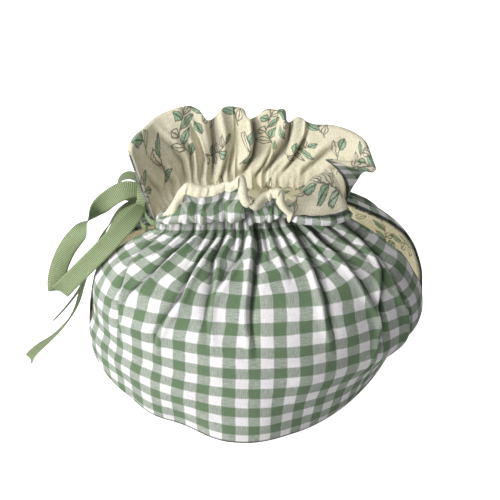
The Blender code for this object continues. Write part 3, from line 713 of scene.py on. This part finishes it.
def below_rim(grid, runs, below):
    """A grid's values at a distance down from the rim, its own for each column."""
    place = np.interp(runs[-1] - below, runs, np.arange(len(runs)))
    low = np.clip(place.astype(int), 0, len(runs) - 2)
    part = (place - low)[:, None]
    columns = np.arange(grid.shape[1])
    return grid[low, columns] * (1 - part) + grid[low + 1, columns] * part


def cloth_faces(edge_away, runs):
    """How far a cloth's face and its back lie from the middle between the two cloths: less
    at the turned edges, and least along the slits."""
    stitched = bell(edge_away - STITCH_IN, STITCH_WIDTH) * (runs > SEAM_RUN)
    stitched = np.maximum(stitched, bell(runs - STITCH_IN, STITCH_WIDTH))
    slit = ease((runs - SEAM_RUN + SLIT_THIN_RUN / 2) / SLIT_THIN_RUN)
    side, low = rounded(edge_away / EDGE_ROUND), rounded(runs / EDGE_ROUND)
    away = []
    for full, at_seam, at_slit in (CLOTH_FACE, CLOTH_BACK):
        least = at_seam + (at_slit - at_seam) * slit
        away.append(least + (full - least) * side)
    face, back = away
    return face * (HEM_THIN + (1 - HEM_THIN) * low) - STITCH_DEPTH * stitched, back


def rolled_rim(panel, side, across, runs, base, ways, face, back):
    """The rows of the ruffle's rolled rim: the cloth's face, its back, how far each row has
    gone over and how far it is from the turned edge."""
    lip = read_table(panel.lip, across)
    roll = -side * lip[:, 1]
    angle = np.radians(np.interp(roll, [-0.5, 0, 0.5], LIP_TURNS))
    uneven = 1 + 0.12 * np.sin(across * 61 + 0.8) + 0.08 * np.sin(across * 143)
    shift = np.interp(roll, [0, 0.5], [0, 1]) * lip[:, 3] * uneven
    flap = np.interp(roll, [0.4, 0.9], [0, 1]) * lip[:, 2]
    rim, out = base[-1], blur(ways[-1], 4, 0)
    up = unit(blur(base[-1] - base[-3], 8, 0))
    up = unit(up - out * (up * out).sum(-1, keepdims=True))
    outer_radius = face[-1] + shift
    length = outer_radius * angle + flap
    centre = rim - out * (side * shift)[:, None]
    rows = []
    for step in range(1, LIP_ROWS + 1):
        gone = length * step / LIP_ROWS
        turned = np.minimum(gone / outer_radius, angle)
        below = np.maximum(gone - outer_radius * angle, 0)
        puff = LIP_PUFF * np.sin(math.pi * np.clip(below / np.maximum(flap, 0.1), 0, 1))
        puff = puff * (flap > 0.3)
        # Below the roll the turned cloth lies on the face of the cloth that it covers.
        lies_on = below_rim(base, runs, below) - rim
        away = np.clip(below / 2.0, 0, 1)[:, None]
        across_way = out * (1 - away) + below_rim(ways, runs, below) * away
        # At its end its face closes in on its back.
        closed = back[-1] + shift + LIP_END
        closed = closed + (face[-1] - back[-1] - LIP_END) * rounded(length - gone)
        sides = []
        for radius in (closed + puff, back[-1] + shift + puff):
            turn_out = side * across_way * (radius * np.cos(turned))[:, None]
            sides.append(centre + lies_on + turn_out + up * (radius * np.sin(turned))[:, None])
        rows.append((*sides, gone, length - gone))
    return (np.array(column) for column in zip(*rows))


def cloth_grids(panel, side):
    """The face and back of one cloth of a panel as grids of points, with its flat places.

    side is 1 for the gingham and -1 for its lining.
    """
    across, runs = panel_columns(), panel_runs()
    points, widths = smooth_panel(panel, across, runs)
    ways = ways_out(points, panel, across, runs, widths)
    pressed, hiding, creases = fold_field(panel.folds, across, runs, widths)
    edge_away = np.minimum(across, 1 - across)[None, :] * widths[:, None]
    run = runs[:, None]
    pushes = pressed + pleat_field(panel.pleats, across, runs) * ease(edge_away / PLEAT_CALM)
    calm = ease(edge_away / LUMP_CALM) * np.clip(run / HEM_CALM, 0, 1)
    pushes = pushes + lumps(across, runs, widths) * calm
    for pinched, depth, width in panel.pinch:
        pushes = pushes + depth * bell(run - pinched, width) * ease(edge_away / PINCH_CALM)
    face, back = cloth_faces(edge_away, run)
    if side > 0:
        # Painted shade along the creases, and a line of it above the drawstring under the ruffle.
        uneven = 0.6 + 0.4 * np.sin(across * 47 + 1.0) * np.sin(across * 19)
        neck = NECK_SHADE_DEPTH * bell(run - CASING_RUN - NECK_UP, NECK_WIDTH) * uneven
        creases = np.maximum(creases[0], neck)
        # The hem of the gingham is turned in under the lining.
        back = back - HEM_TURNED * (1 - ease((run - TURNED_UP) / TURNED_RUN))
    else:
        creases = creases[1]
        points, ways, pushes, creases, face, back, runs, hiding, edge_away = (
            grid[LINING_SHORT:] for grid in
            (points, ways, pushes, creases, face, back, runs, hiding, edge_away))
    base = points - ways * pushes[..., None]
    grids = [base + ways * (side * offset)[..., None] for offset in (face, back)]
    flat_u, flat_v, shown_u, shown_v = flat_places(base, points, hiding, across, runs)
    # Below the slits the front and the back are sewn edge to edge.
    for grid in grids:
        for end, half in ((0, across < 0.5), (-1, across >= 0.5)):
            gap = grid[:, end, 1]
            sewn = SEWN_CLOSE * gap * ease((SEWN_GAP - np.abs(gap)) / SEWN_FADE)
            grid[:, :, 1] -= sewn[:, None] * np.clip(1 - edge_away / SEWN_WIDTH, 0, 1) * half

    # Distance for the painted shade along the turned edges, reaching further up the hem.
    edge = np.minimum(edge_away, HEM_SHADE_REACH * (runs - runs[0])[:, None])
    *rims, gone, end = rolled_rim(panel, side, across, runs, base, ways, face, back)
    print_u, print_v = PRINT_START[panel.outward]

    def with_rim(grid, beyond=0):
        return np.concatenate([grid, np.repeat(grid[-1:], LIP_ROWS, axis=0) + beyond])

    flat = np.zeros((len(runs) + LIP_ROWS, len(across)))
    edge = np.concatenate([edge, np.minimum(edge[-1], end)])
    layers = {
        FLAT_MM: (with_rim(flat_u), with_rim(flat_v, gone), flat),
        SPREAD: (with_rim(shown_u + print_u), with_rim(shown_v + print_v, gone), flat),
        EDGE_AND_CREASE_SHADE: (edge, np.clip(with_rim(creases) / DARKEST_CREASE_SHADE, 0, 1), flat)}
    return *(np.concatenate(pair) for pair in zip(grids, rims)), layers


def sheet_object(name, face, back, layers, material):
    """A thin closed sheet between two grids of points, with its flat places as attributes."""
    rows, columns = face.shape[:2]
    cloth = bmesh.new()
    place_of = cloth.verts.layers.int.new("place")
    back_of = cloth.verts.layers.int.new("back")
    bmesh.ops.create_grid(cloth, x_segments=columns - 1, y_segments=rows - 1, size=1)
    for vert in cloth.verts:
        row = round((vert.co.y + 1) / 2 * (rows - 1))
        vert[place_of] = row * columns + round((vert.co.x + 1) / 2 * (columns - 1))
    grown = bmesh.ops.extrude_face_region(cloth, geom=cloth.faces[:])
    for vert in grown["geom"]:
        if isinstance(vert, bmesh.types.BMVert):
            vert[back_of] = 1
    mesh = bpy.data.meshes.new(name)
    cloth.to_mesh(mesh)
    cloth.free()
    count = len(mesh.vertices)
    place, is_back = np.zeros(count, np.int32), np.zeros(count, np.int32)
    mesh.attributes["place"].data.foreach_get("value", place)
    mesh.attributes["back"].data.foreach_get("value", is_back)
    where = np.where(is_back[:, None] == 1, back.reshape(-1, 3)[place], face.reshape(-1, 3)[place])
    mesh.vertices.foreach_set("co", ((where + AXIS_SHIFT) * MM).astype(np.float32).ravel())
    for layer, axes_mm in layers.items():
        values = np.zeros((count, 3), np.float32)
        for axis, axis_mm in enumerate(axes_mm):
            values[:, axis] = axis_mm.ravel()[place]
        attribute = mesh.attributes.new(layer, "FLOAT_VECTOR", "POINT")
        attribute.data.foreach_set("vector", values.ravel())
    for used in ("place", "back"):
        mesh.attributes.remove(mesh.attributes[used])
    shape = bmesh.new()
    shape.from_mesh(mesh)
    bmesh.ops.recalc_face_normals(shape, faces=shape.faces)
    shape.to_mesh(mesh)
    shape.free()
    mesh.materials.append(material)
    mesh.shade_smooth()
    thing = bpy.data.objects.new(name, mesh)
    bpy.context.collection.objects.link(thing)
    return thing


# ---------------------------------------------------------------- the ribbon's shape

def smooth_route(route):
    """A route read as a smooth curve, with RIBBON_STEPS rings for each of its rows."""
    last = len(route) - 1
    rows = []
    for index in range(last):
        a, b, c, d = (np.array(route[min(max(index + step, 0), last)], float)
                      for step in (-1, 0, 1, 2))
        for step in range(RIBBON_STEPS):
            part = step / RIBBON_STEPS
            rows.append(0.5 * (2 * b + (c - a) * part + (2 * a - 5 * b + 4 * c - d) * part ** 2
                               + (3 * b - a - 3 * c + d) * part ** 3))
    return np.array(rows + [np.array(route[-1], float)])


def ribbon_grids(route, cut):
    """The face and back of a flat ribbon, its rings' centres and its flat places.

    cut slants the last ring, in millimetres from one edge to the other.
    """
    rows = smooth_route(route)
    centres, wides, widths = rows[:, :3], rows[:, 3:6], rows[:, 6:7]
    ahead = unit(np.gradient(centres, axis=0))
    wides = unit(wides - ahead * (wides * ahead).sum(-1, keepdims=True))
    thick = np.cross(ahead, wides)[:, None]
    across = np.linspace(-0.5, 0.5, RIBBON_SEGMENTS + 1)
    slant = np.zeros(widths.shape)
    slant[-1] = cut
    bow = RIBBON_CUP * widths * (1 - (2 * across) ** 2)
    places = centres[:, None] + wides[:, None] * (across * widths)[..., None]
    places = places + thick * bow[..., None]
    places = places + ahead[:, None] * (slant * across)[..., None]
    half = RIBBON_THICK / 2 * (RIBBON_EDGE + (1 - RIBBON_EDGE) * (1 - np.abs(2 * across) ** 6))
    lift = thick * half[None, :, None]
    flat_v = summed(step_lengths(centres, 0))[:, None] + slant * across
    return places + lift, places - lift, centres, across * widths, flat_v


# ---------------------------------------------------------------- materials

# The attributes are in millimetres of cloth, so the scale of a noise or a stretch is a rate
# for each millimetre: 0.09 is a feature each 11 mm.

def set_inputs(node, inputs):
    """Give a node's inputs their values, or link them to sockets.

    inputs is a list in the node's own order, or a dict by the inputs' names or numbers. A Mix
    node's names repeat, so it goes by numbers: 0 is its factor, 2 and 3 are the values that it
    mixes, and 6 and 7 the colours. Number 3 of a Vector Math node is its scale.
    """
    for place, value in inputs.items() if isinstance(inputs, dict) else enumerate(inputs):
        if isinstance(value, bpy.types.NodeSocket):
            node.id_data.links.new(value, node.inputs[place])
        else:
            node.inputs[place].default_value = value


def add(tree, kind, inputs=(), out=0, **settings):
    """Add a shader node with its settings and inputs, and return one of its outputs."""
    made = tree.nodes.new("ShaderNode" + kind)
    for name, value in settings.items():
        setattr(made, name, value)
    set_inputs(made, inputs)
    return made.outputs[out]


def new_material(name):
    """A material with its tree and its own shader."""
    material = bpy.data.materials.new(name)
    material.use_nodes = True
    return material, material.node_tree, material.node_tree.nodes["Principled BSDF"]


def painted_edge_and_crease_shade(tree, edge_least, crease_least):
    """Painted shade: darker along the last millimetre of a turned edge and along the line of a
    crease, where shade falls."""
    layers = add(tree, "Attribute", out="Vector", attribute_name=EDGE_AND_CREASE_SHADE)
    edge = add(tree, "SeparateXYZ", [layers])
    crease = edge.node.outputs["Y"]
    edge = add(tree, "MapRange", [edge, *EDGE_SHADE_SPAN, edge_least, 1.0],
               interpolation_type="SMOOTHSTEP")
    crease = add(tree, "MapRange", [crease, 0.1, 1.0, 1.0, crease_least])
    return add(tree, "Math", [edge, crease], operation="MULTIPLY")


def uneven_yarn(tree, flat, along, beside, roughness):
    """Slubs, each thread a little thicker or thinner along its way: the warp's, the weft's
    and both together."""
    slubs = []
    for scale in ((along, beside, 1), (beside, along, 1)):
        stretched = add(tree, "Mapping", {"Vector": flat, "Scale": scale})
        slubs.append(add(tree, "TexNoise", {"Vector": stretched, "Scale": 1.0, "Detail": 3.0,
                                            "Roughness": roughness}))
    return (*slubs, add(tree, "Math", slubs, operation="ADD"))


def gingham_material(sizes):
    """Yarn-dyed cotton gingham, plain woven: green and white threads cross, so a check is
    full green, half-tone or white, with the threads showing as fine lines in the half-tone."""
    material, tree, surface = new_material("yarn_dyed_cotton_gingham")
    check = sizes.check / MM
    # Such cloth has a thread each 0.35 mm, too fine to show, so the threads are drawn coarser.
    thread = sizes.gingham_thread / MM
    flat = add(tree, "Attribute", out="Vector", attribute_name=FLAT_MM)
    axes = add(tree, "SeparateXYZ", [flat]).node.outputs
    stripes, threads = [], []
    for axis in (axes["X"], axes["Y"]):
        wobble = add(tree, "TexNoise", {"Vector": flat, "Scale": 0.09, "Detail": 1.0})
        wander = add(tree, "Math", [wobble, THREAD_WANDER, axis], operation="MULTIPLY_ADD")
        turn = add(tree, "Math", [wander, math.pi / check], operation="MULTIPLY")
        wave = add(tree, "Math", [turn], operation="SINE")
        stripes.append(add(tree, "MapRange", [wave, -CHECK_BLUR, CHECK_BLUR],
                           interpolation_type="SMOOTHSTEP"))
        rate = add(tree, "Math", [axis, 2 * math.pi / thread], operation="MULTIPLY")
        ripple = add(tree, "Math", [rate], operation="SINE")
        threads.append(add(tree, "Math", [ripple, 0.5, 0.5], operation="MULTIPLY_ADD"))
    warp_slub, weft_slub, yarn = uneven_yarn(tree, flat, 2.2, 0.16, 0.7)
    warp_up = add(tree, "Math", threads, operation="SUBTRACT")
    slub_tip = add(tree, "Math", [warp_slub, weft_slub], operation="SUBTRACT")
    which = add(tree, "Math", [slub_tip, SLUB_TIP, 0.5], operation="MULTIPLY_ADD")
    which = add(tree, "Math", [warp_up, WEAVE_TIP, which], operation="MULTIPLY_ADD",
                use_clamp=True)
    # The share of green threads on top: warp stripe where the warp is up, weft where not.
    green = add(tree, "Mix", {0: which, 2: stripes[1], 3: stripes[0]}, data_type="FLOAT")
    # The eye reads a half-tone check as nearer the green than the white.
    green = add(tree, "Math", [green, HALF_TONE], operation="POWER", use_clamp=True)
    colour = add(tree, "Mix", {0: green, 6: linear(sizes.white_thread),
                               7: linear(sizes.green_thread)}, out=2, data_type="RGBA")
    fade = add(tree, "TexNoise", {"Vector": flat, "Scale": 0.05, "Detail": 2.0})
    tone = add(tree, "MapRange", [fade, 0.3, 0.7, 0.93, 1.05])
    yarn_tone = add(tree, "MapRange", [yarn, 0.7, 1.3, 0.84, 1.12])
    shade = add(tree, "Math", [tone, yarn_tone], operation="MULTIPLY")
    # Painted shade along the turned edges and the creases' lines darkens the colour.
    shade = add(tree, "Math", [shade, painted_edge_and_crease_shade(tree, *GINGHAM_SHADE)], operation="MULTIPLY")
    weave = add(tree, "Math", threads, operation="MULTIPLY")
    height = add(tree, "Math", [yarn, 0.8, weave], operation="MULTIPLY_ADD")
    set_inputs(surface, {
        "Base Color": add(tree, "VectorMath", {0: colour, 3: shade}, operation="SCALE"),
        "Normal": add(tree, "Bump", {"Height": height, "Strength": 0.35, "Distance": 0.00012}),
        "Roughness": 0.85, "Specular IOR Level": 0.25,
        "Sheen Weight": 0.15, "Sheen Roughness": 0.5})
    return material


# The print's own arrangement on its repeat, in millimetres: leaves by their centre, turn,
# half length, half width and whether they are filled with green, and stems by their middle,
# turn, half length and bow.
Leaf = namedtuple("Leaf", "x y turn length width filled")
Stem = namedtuple("Stem", "x y turn length bow")
REPEAT = (88.0, 58.0)
PRINT_LINE = 0.36        # half the width of a printed line
LINE_SOFT = (0.6, 1.5)   # it is whole up to the first and gone from the second, in that
LEAF_SOFT = (-0.5, -0.1) # the same for the green of a leaf, in mm from the leaf's line
RIB_END, STEM_END = (3.0, -2.6), (4.0, -4.0)   # how a rib ends within its leaf, and a stem
LEAF_FULLNESS = 0.47     # half a leaf's width, as a part of its half length
HAND_WANDER = 0.8        # how far the hand that drew the print strays


def sprig(x, y, turn, length, bow, size, spread, filled):
    """A bowed stem with leaves in pairs, nearly opposite, and one at its tip.

    filled has a g for each leaf filled with green, and an o for each that is only a line.
    """
    leaves = []
    ahead = np.array([math.cos(math.radians(turn)), math.sin(math.radians(turn))])
    beside = np.array([-ahead[1], ahead[0]])
    tip = len(filled) - 1
    for index, fill in enumerate(filled):
        part = 1.0 if index == tip else -0.75 + 1.7 * (index + 0.35 * (index % 2)) / tip
        base = np.array([x, y]) + ahead * length * part - beside * bow * part ** 2
        lean = turn - math.degrees(math.atan2(2 * bow * part, length))
        side = 0 if index == tip else (1 if index % 2 else -1)
        way = math.radians(lean + side * (spread + 5 * math.sin(3.1 * index)))
        half = size * (1.0 - 0.14 * math.cos(2.3 * index))
        centre = base + np.array([math.cos(way), math.sin(way)]) * half * 1.08
        leaves.append(Leaf(*centre, math.degrees(way), half, half * LEAF_FULLNESS, fill == "g"))
    return leaves, Stem(x, y, turn, length, bow)


SPRIGS = [
    sprig(14, 26, 96, 19, 1.8, 4.9, 50, "gogoggogo"),
    sprig(44, 15, 12, 13, -1.8, 4.3, 52, "ogoogog"),
    sprig(64, 38, 118, 10, 0.8, 5.6, 36, "ogggo"),
    sprig(40, 45, -158, 10, 1.2, 5.0, 46, "gogog"),
    sprig(78, 13, 70, 9, -0.8, 5.8, 32, "gog"),
]
LEAVES = [leaf for leaves, _ in SPRIGS for leaf in leaves]
LEAVES += [Leaf(29, 29, 150, 5.4, 2.6, True), Leaf(83, 48, 20, 5.2, 2.5, False)]
STEMS = [stem for _, stem in SPRIGS]


def beside_shape(tree, drawn, shape):
    """Where a point lies on a leaf or stem: x squared, with x 1 at its ends, and y in mm."""
    local = add(tree, "Mapping", {"Vector": drawn, "Location": (shape.x, shape.y, 0),
                                  "Rotation": (0, 0, math.radians(shape.turn)),
                                  "Scale": (shape.length, 1, 1)}, vector_type="TEXTURE")
    x = add(tree, "SeparateXYZ", [local])
    return add(tree, "Math", [x, x], operation="MULTIPLY"), x.node.outputs["Y"]


def least_of(tree, values):
    """The least of several values."""
    least = values[0]
    for value in values[1:]:
        least = add(tree, "Math", [least, value], operation="MINIMUM")
    return least


def leaf_print(tree, flat):
    """How much of each point is printed leaf green, and how much is printed line."""
    repeat = add(tree, "VectorMath", [flat, (*REPEAT, 1), (0, 0, 0)], operation="WRAP")
    hand = add(tree, "TexNoise", {"Vector": flat, "Scale": 0.35, "Detail": 1.0}, out="Color")
    stray = (2 * HAND_WANDER, 2 * HAND_WANDER, 0)
    drawn = add(tree, "VectorMath", [hand, stray, repeat], operation="MULTIPLY_ADD")
    drawn = add(tree, "VectorMath", [drawn, (-HAND_WANDER, -HAND_WANDER, 0)], operation="ADD")
    fills, lines = [], []
    for leaf in LEAVES:
        square, y = beside_shape(tree, drawn, leaf)
        beside = add(tree, "Math", [y], operation="ABSOLUTE")
        edge = add(tree, "Math", [square, leaf.width, beside], operation="MULTIPLY_ADD")
        edge = add(tree, "Math", [edge, leaf.width], operation="SUBTRACT")
        rim = add(tree, "Math", [edge], operation="ABSOLUTE")
        past = add(tree, "Math", [square, *RIB_END], operation="MULTIPLY_ADD")
        rib = add(tree, "Math", [beside, past], operation="MAXIMUM")
        lines.append(add(tree, "Math", [rim, rib], operation="MINIMUM"))
        if leaf.filled:
            fills.append(edge)
    for stem in STEMS:
        square, y = beside_shape(tree, drawn, stem)
        bowed = add(tree, "Math", [square, stem.bow, y], operation="MULTIPLY_ADD")
        beside = add(tree, "Math", [bowed], operation="ABSOLUTE")
        past = add(tree, "Math", [square, *STEM_END], operation="MULTIPLY_ADD")
        lines.append(add(tree, "Math", [beside, past], operation="MAXIMUM"))
    green = add(tree, "MapRange", [least_of(tree, fills), *LEAF_SOFT, 1.0, 0.0])
    soft = (PRINT_LINE * part for part in LINE_SOFT)
    line = add(tree, "MapRange", [least_of(tree, lines), *soft, 1.0, 0.0])
    return green, line


def linen_material(sizes):
    """Natural linen and cotton cloth, plain woven from uneven yarn and screen printed: a
    cream ground with slubs and flecks, and thin print that lets the weave through."""
    material, tree, surface = new_material("printed_natural_linen")
    flat = add(tree, "Attribute", out="Vector", attribute_name=SPREAD)
    _, _, yarn = uneven_yarn(tree, flat, 2.0, 0.22, 0.75)
    raised = add(tree, "MapRange", [yarn, 0.75, 1.25])
    tint = add(tree, "TexNoise", {"Vector": flat, "Scale": 0.12, "Detail": 1.0})
    hue = add(tree, "MapRange", [tint, 0.4, 0.6])
    cloth, leaf = (
        add(tree, "Mix", {0: part, 6: linear(dark), 7: linear(light)}, out=2, data_type="RGBA")
        for part, dark, light in ((raised, sizes.linen_dark, sizes.linen_light),
                                  (hue, sizes.leaf_dark, sizes.leaf_light)))
    # The print is worn off the raised yarn.
    worn = add(tree, "MapRange", [yarn, 0.8, 1.2, 0.95, 0.55])
    for ink, colour in zip(leaf_print(tree, flat), (leaf, linear(sizes.print_line))):
        ink = add(tree, "Math", [ink, worn], operation="MULTIPLY")
        cloth = add(tree, "Mix", {0: ink, 6: cloth, 7: colour}, out=2, data_type="RGBA")
    flecks = add(tree, "TexNoise", {"Vector": flat, "Scale": 0.95, "Detail": 2.0,
                                    "Roughness": 0.75})
    fleck = add(tree, "MapRange", [flecks, 0.30, 0.44, 0.74, 1.0])
    # Painted shade along the turned edges and the creases' lines darkens the colour.
    shade = add(tree, "Math", [fleck, painted_edge_and_crease_shade(tree, *LINEN_SHADE)], operation="MULTIPLY")
    set_inputs(surface, {
        "Base Color": add(tree, "VectorMath", {0: cloth, 3: shade}, operation="SCALE"),
        "Normal": add(tree, "Bump", {"Height": yarn, "Strength": 0.45, "Distance": 0.00018}),
        "Roughness": 0.9, "Specular IOR Level": 0.2,
        "Sheen Weight": 0.15, "Sheen Roughness": 0.5})
    return material


def grosgrain_material(sizes):
    """Polyester grosgrain ribbon, woven with thick weft cords: close ribs across it, with a
    painted highlight on each rib and painted shade between, and a flat woven edge."""
    material, tree, surface = new_material("woven_polyester_grosgrain")
    rib = sizes.ribbon_rib / MM
    flat = add(tree, "Attribute", out="Vector", attribute_name=FLAT_MM)
    along = add(tree, "SeparateXYZ", [flat], out="Y")
    rate = add(tree, "Math", [along, 2 * math.pi / rib], operation="MULTIPLY")
    wave = add(tree, "Math", [rate], operation="SINE")
    ribs = add(tree, "Math", [wave, 0.5, 0.5], operation="MULTIPLY_ADD")
    stretched = add(tree, "Mapping", {"Vector": flat, "Scale": (3.0, 0.12, 1)})
    yarn = add(tree, "TexNoise", {"Vector": stretched, "Scale": 1.0, "Detail": 2.0})
    mix = add(tree, "Math", [yarn, 0.5, -0.25], operation="MULTIPLY_ADD")
    # The ribs' colour: painted highlight on each rib and painted shade between, with yarn noise
    # for uneven tone.
    mix = add(tree, "Math", [ribs, 0.8, mix], operation="MULTIPLY_ADD", use_clamp=True)
    set_inputs(surface, {
        "Base Color": add(tree, "Mix", {0: mix, 6: linear(sizes.ribbon_rib_shade),
                                        7: linear(sizes.ribbon_rib_highlight)}, out=2, data_type="RGBA"),
        "Normal": add(tree, "Bump", {"Height": ribs, "Strength": 0.5, "Distance": 0.0002}),
        "Roughness": 0.55, "Specular IOR Level": 0.4,
        "Sheen Weight": 0.2, "Sheen Roughness": 0.4})
    return material


# ---------------------------------------------------------------- properties and operators

def hex_property(name, description, default):
    """A colour that a user may change, as an sRGB hex value."""
    return bpy.props.StringProperty(name=name, description=description, default=default)


class TeaCosySizes(bpy.types.PropertyGroup):
    """What a user would change on the cosy."""

    check: bpy.props.FloatProperty(
        name="Check", description="Side of one check of the gingham", default=0.008, unit="LENGTH")
    gingham_thread: bpy.props.FloatProperty(
        name="Gingham thread", default=0.0011, unit="LENGTH",
        description="Thread spacing, drawn coarser than 0.35 mm so that it shows")
    ribbon_rib: bpy.props.FloatProperty(
        name="Ribbon rib", default=0.00115, unit="LENGTH",
        description="Spacing of the ribbon's cross ribs")
    white_thread: hex_property("White thread", "Undyed thread of the gingham", "#F0EDEE")
    green_thread: hex_property("Green thread", "Dyed thread of the gingham", "#687F60")
    linen_light: hex_property("Linen, light", "Raised yarn of the lining", "#F6F2DE")
    linen_dark: hex_property("Linen, dark", "Deep yarn of the lining", "#D2CAA8")
    leaf_light: hex_property("Leaf, light", "Light green of the print", "#93C0A0")
    leaf_dark: hex_property("Leaf, dark", "Dark green of the print", "#5F9472")
    print_line: hex_property("Printed line", "Line of the print", "#3A3A2C")
    # The ribbon's two colours are a painted highlight on its ribs and painted shade between them.
    ribbon_rib_highlight: hex_property("Ribbon, light", "Ribs of the ribbon", "#A9B88E")
    ribbon_rib_shade: hex_property("Ribbon, dark", "Between the ribs", "#5F7148")


FLOOR_RADIUS = 3.0
FLOOR_GAP = 0.0004       # between the floor and the hem
WORLD_LIGHT = 0.145      # how strongly the world lights the cosy
Lamp = namedtuple("Lamp", "name watts size place aim")
LAMPS = [
    Lamp("key", 9.2, 0.32, (-0.88, -0.62, 0.46), (0, 0, 0.09)),
    Lamp("fill", 2.0, 0.9, (-0.66, -0.95, 0.20), (-0.02, 0, 0.06)),
    Lamp("top", 2.9, 0.5, (-0.26, -0.34, 0.86), (0, 0, 0.15)),
    Lamp("back", 4.6, 0.9, (0.25, 1.10, 0.42), (0, 0, 0.08)),
    # The light that the pale lining throws about inside.
    Lamp("bounce", 0.06, 0.08, (0.02, 0.0, 0.012), (0.02, 0.0, 1.0)),
]


class COSY_OT_stage(bpy.types.Operator):
    """Add the camera, the floor and the soft lights"""

    bl_idname = "cosy.stage"
    bl_label = "Stage"

    def execute(self, context):
        scene = context.scene
        camera = bpy.data.cameras.new("camera")
        camera.lens = 81.82
        camera.sensor_width = 36
        camera.shift_x = 0.004
        camera.clip_start = 0.01
        holder = bpy.data.objects.new("camera", camera)
        holder.location = (-0.0051, -0.63604, 0.50064)
        holder.rotation_euler = (math.radians(58), 0, 0)
        scene.collection.objects.link(holder)
        scene.camera = holder

        shape = bmesh.new()
        bmesh.ops.create_circle(shape, cap_ends=True, radius=FLOOR_RADIUS, segments=64)
        bmesh.ops.translate(shape, verts=shape.verts, vec=(0, 0, -FLOOR_GAP))
        mesh = bpy.data.meshes.new("floor")
        shape.to_mesh(mesh)
        shape.free()
        floor = bpy.data.objects.new("floor", mesh)
        scene.collection.objects.link(floor)
        material, tree, surface = new_material("matt_white_paper")
        # The sweep is lit to pure white where it is looked at.
        set_inputs(surface, {"Base Color": (0.85, 0.85, 0.85, 1), "Roughness": 0.9,
                             "Emission Color": (1, 1, 1, 1),
                             "Emission Strength": add(tree, "LightPath", out="Is Camera Ray")})
        mesh.materials.append(material)

        world = bpy.data.worlds.new("studio")
        scene.world = world
        world.use_nodes = True
        tree = world.node_tree
        # It too is pure white where it is looked at, and lights the cosy less than that.
        seen = add(tree, "LightPath", out="Is Camera Ray")
        strength = add(tree, "MapRange", [seen, 0, 1, WORLD_LIGHT, 1])
        set_inputs(tree.nodes["Background"], {"Color": (1, 1, 1, 1), "Strength": strength})
        scene.view_settings.view_transform = "Standard"
        for lamp in LAMPS:
            light = bpy.data.lights.new(lamp.name, "AREA")
            light.energy = lamp.watts
            light.size = lamp.size
            holder = bpy.data.objects.new(lamp.name, light)
            holder.location = lamp.place
            way = Vector(lamp.aim) - Vector(lamp.place)
            holder.rotation_euler = way.to_track_quat("-Z", "Y").to_euler()
            holder.visible_camera = False
            scene.collection.objects.link(holder)
        return {"FINISHED"}


def add_ribbon(name, routes, cut, material):
    """A ribbon along its routes, one after the other, and its length and path."""
    parts, gone = [], 0.0
    for index, route in enumerate(routes):
        *grids, flat_v = ribbon_grids(route, cut if index == len(routes) - 1 else 0)
        parts.append((*grids, flat_v + gone))
        gone = float(parts[-1][-1].max())
    face, back, centres, *flat = (np.concatenate(grids) for grids in zip(*parts))
    thing = sheet_object(name, face, back, {FLAT_MM: flat}, material)
    path = (centres + AXIS_SHIFT) * MM
    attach(thing, "root")
    return thing, path, float(np.linalg.norm(np.diff(path, axis=0), axis=1).sum())


class COSY_OT_ribbon(bpy.types.Operator):
    """Add the two ends of the drawstring, tied in a bow"""

    bl_idname = "cosy.ribbon"
    bl_label = "Ribbon"

    def execute(self, context):
        material = grosgrain_material(context.scene.tea_cosy)
        knot, _, _ = add_ribbon("ribbon_knot", [KNOT_BAND], 0.0, material)
        ends = (("ribbon_front_end", [LEAD_FRONT, LOOP_FRONT, TAIL_LONG], 7.0, [knot]),
                ("ribbon_back_end", [LEAD_BACK, LOOP_BACK, TAIL_SHORT], -6.0, []))
        for name, routes, cut, carried in ends:
            end, path, length = add_ribbon(name, routes, cut, material)
            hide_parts("ribbon")
        return {"FINISHED"}


def add_cloth(name, node, panel, side, material):
    """One cloth of a panel, standing for its solid."""
    cloth = sheet_object(name, *cloth_grids(panel, side), material)
    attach(cloth, "root")
    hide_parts(node)


class COSY_OT_gingham(bpy.types.Operator):
    """Add the front and back gingham cloths"""

    bl_idname = "cosy.gingham"
    bl_label = "Gingham"

    def execute(self, context):
        material = gingham_material(context.scene.tea_cosy)
        add_cloth("gingham_front", "front_outer", FRONT, 1, material)
        add_cloth("gingham_back", "back_outer", BACK, 1, material)
        return {"FINISHED"}


class COSY_OT_lining(bpy.types.Operator):
    """Add the front and back linings"""

    bl_idname = "cosy.lining"
    bl_label = "Lining"

    def execute(self, context):
        material = linen_material(context.scene.tea_cosy)
        add_cloth("lining_front", "front_lining", FRONT, -1, material)
        add_cloth("lining_back", "back_lining", BACK, -1, material)
        return {"FINISHED"}


STEPS = (COSY_OT_stage, COSY_OT_ribbon, COSY_OT_gingham, COSY_OT_lining)


class COSY_PT_panel(bpy.types.Panel):
    """The cosy's sizes, colours and building steps"""

    bl_idname = "COSY_PT_panel"
    bl_label = "Tea cosy"
    bl_space_type = "VIEW_3D"
    bl_region_type = "UI"
    bl_category = "Tea cosy"

    def draw(self, context):
        for name in TeaCosySizes.__annotations__:
            self.layout.prop(context.scene.tea_cosy, name)
        for step in STEPS:
            self.layout.operator(step.bl_idname)


CLASSES = (TeaCosySizes, *STEPS, COSY_PT_panel)


def register():
    for each in CLASSES:
        bpy.utils.register_class(each)
    bpy.types.Scene.tea_cosy = bpy.props.PointerProperty(type=TeaCosySizes)


def unregister():
    del bpy.types.Scene.tea_cosy
    for each in reversed(CLASSES):
        bpy.utils.unregister_class(each)


def main():
    register()
    bpy.ops.cosy.stage()
    bpy.ops.cosy.ribbon()
    bpy.ops.cosy.gingham()
    bpy.ops.cosy.lining()


if __name__ == "__main__":
    main()
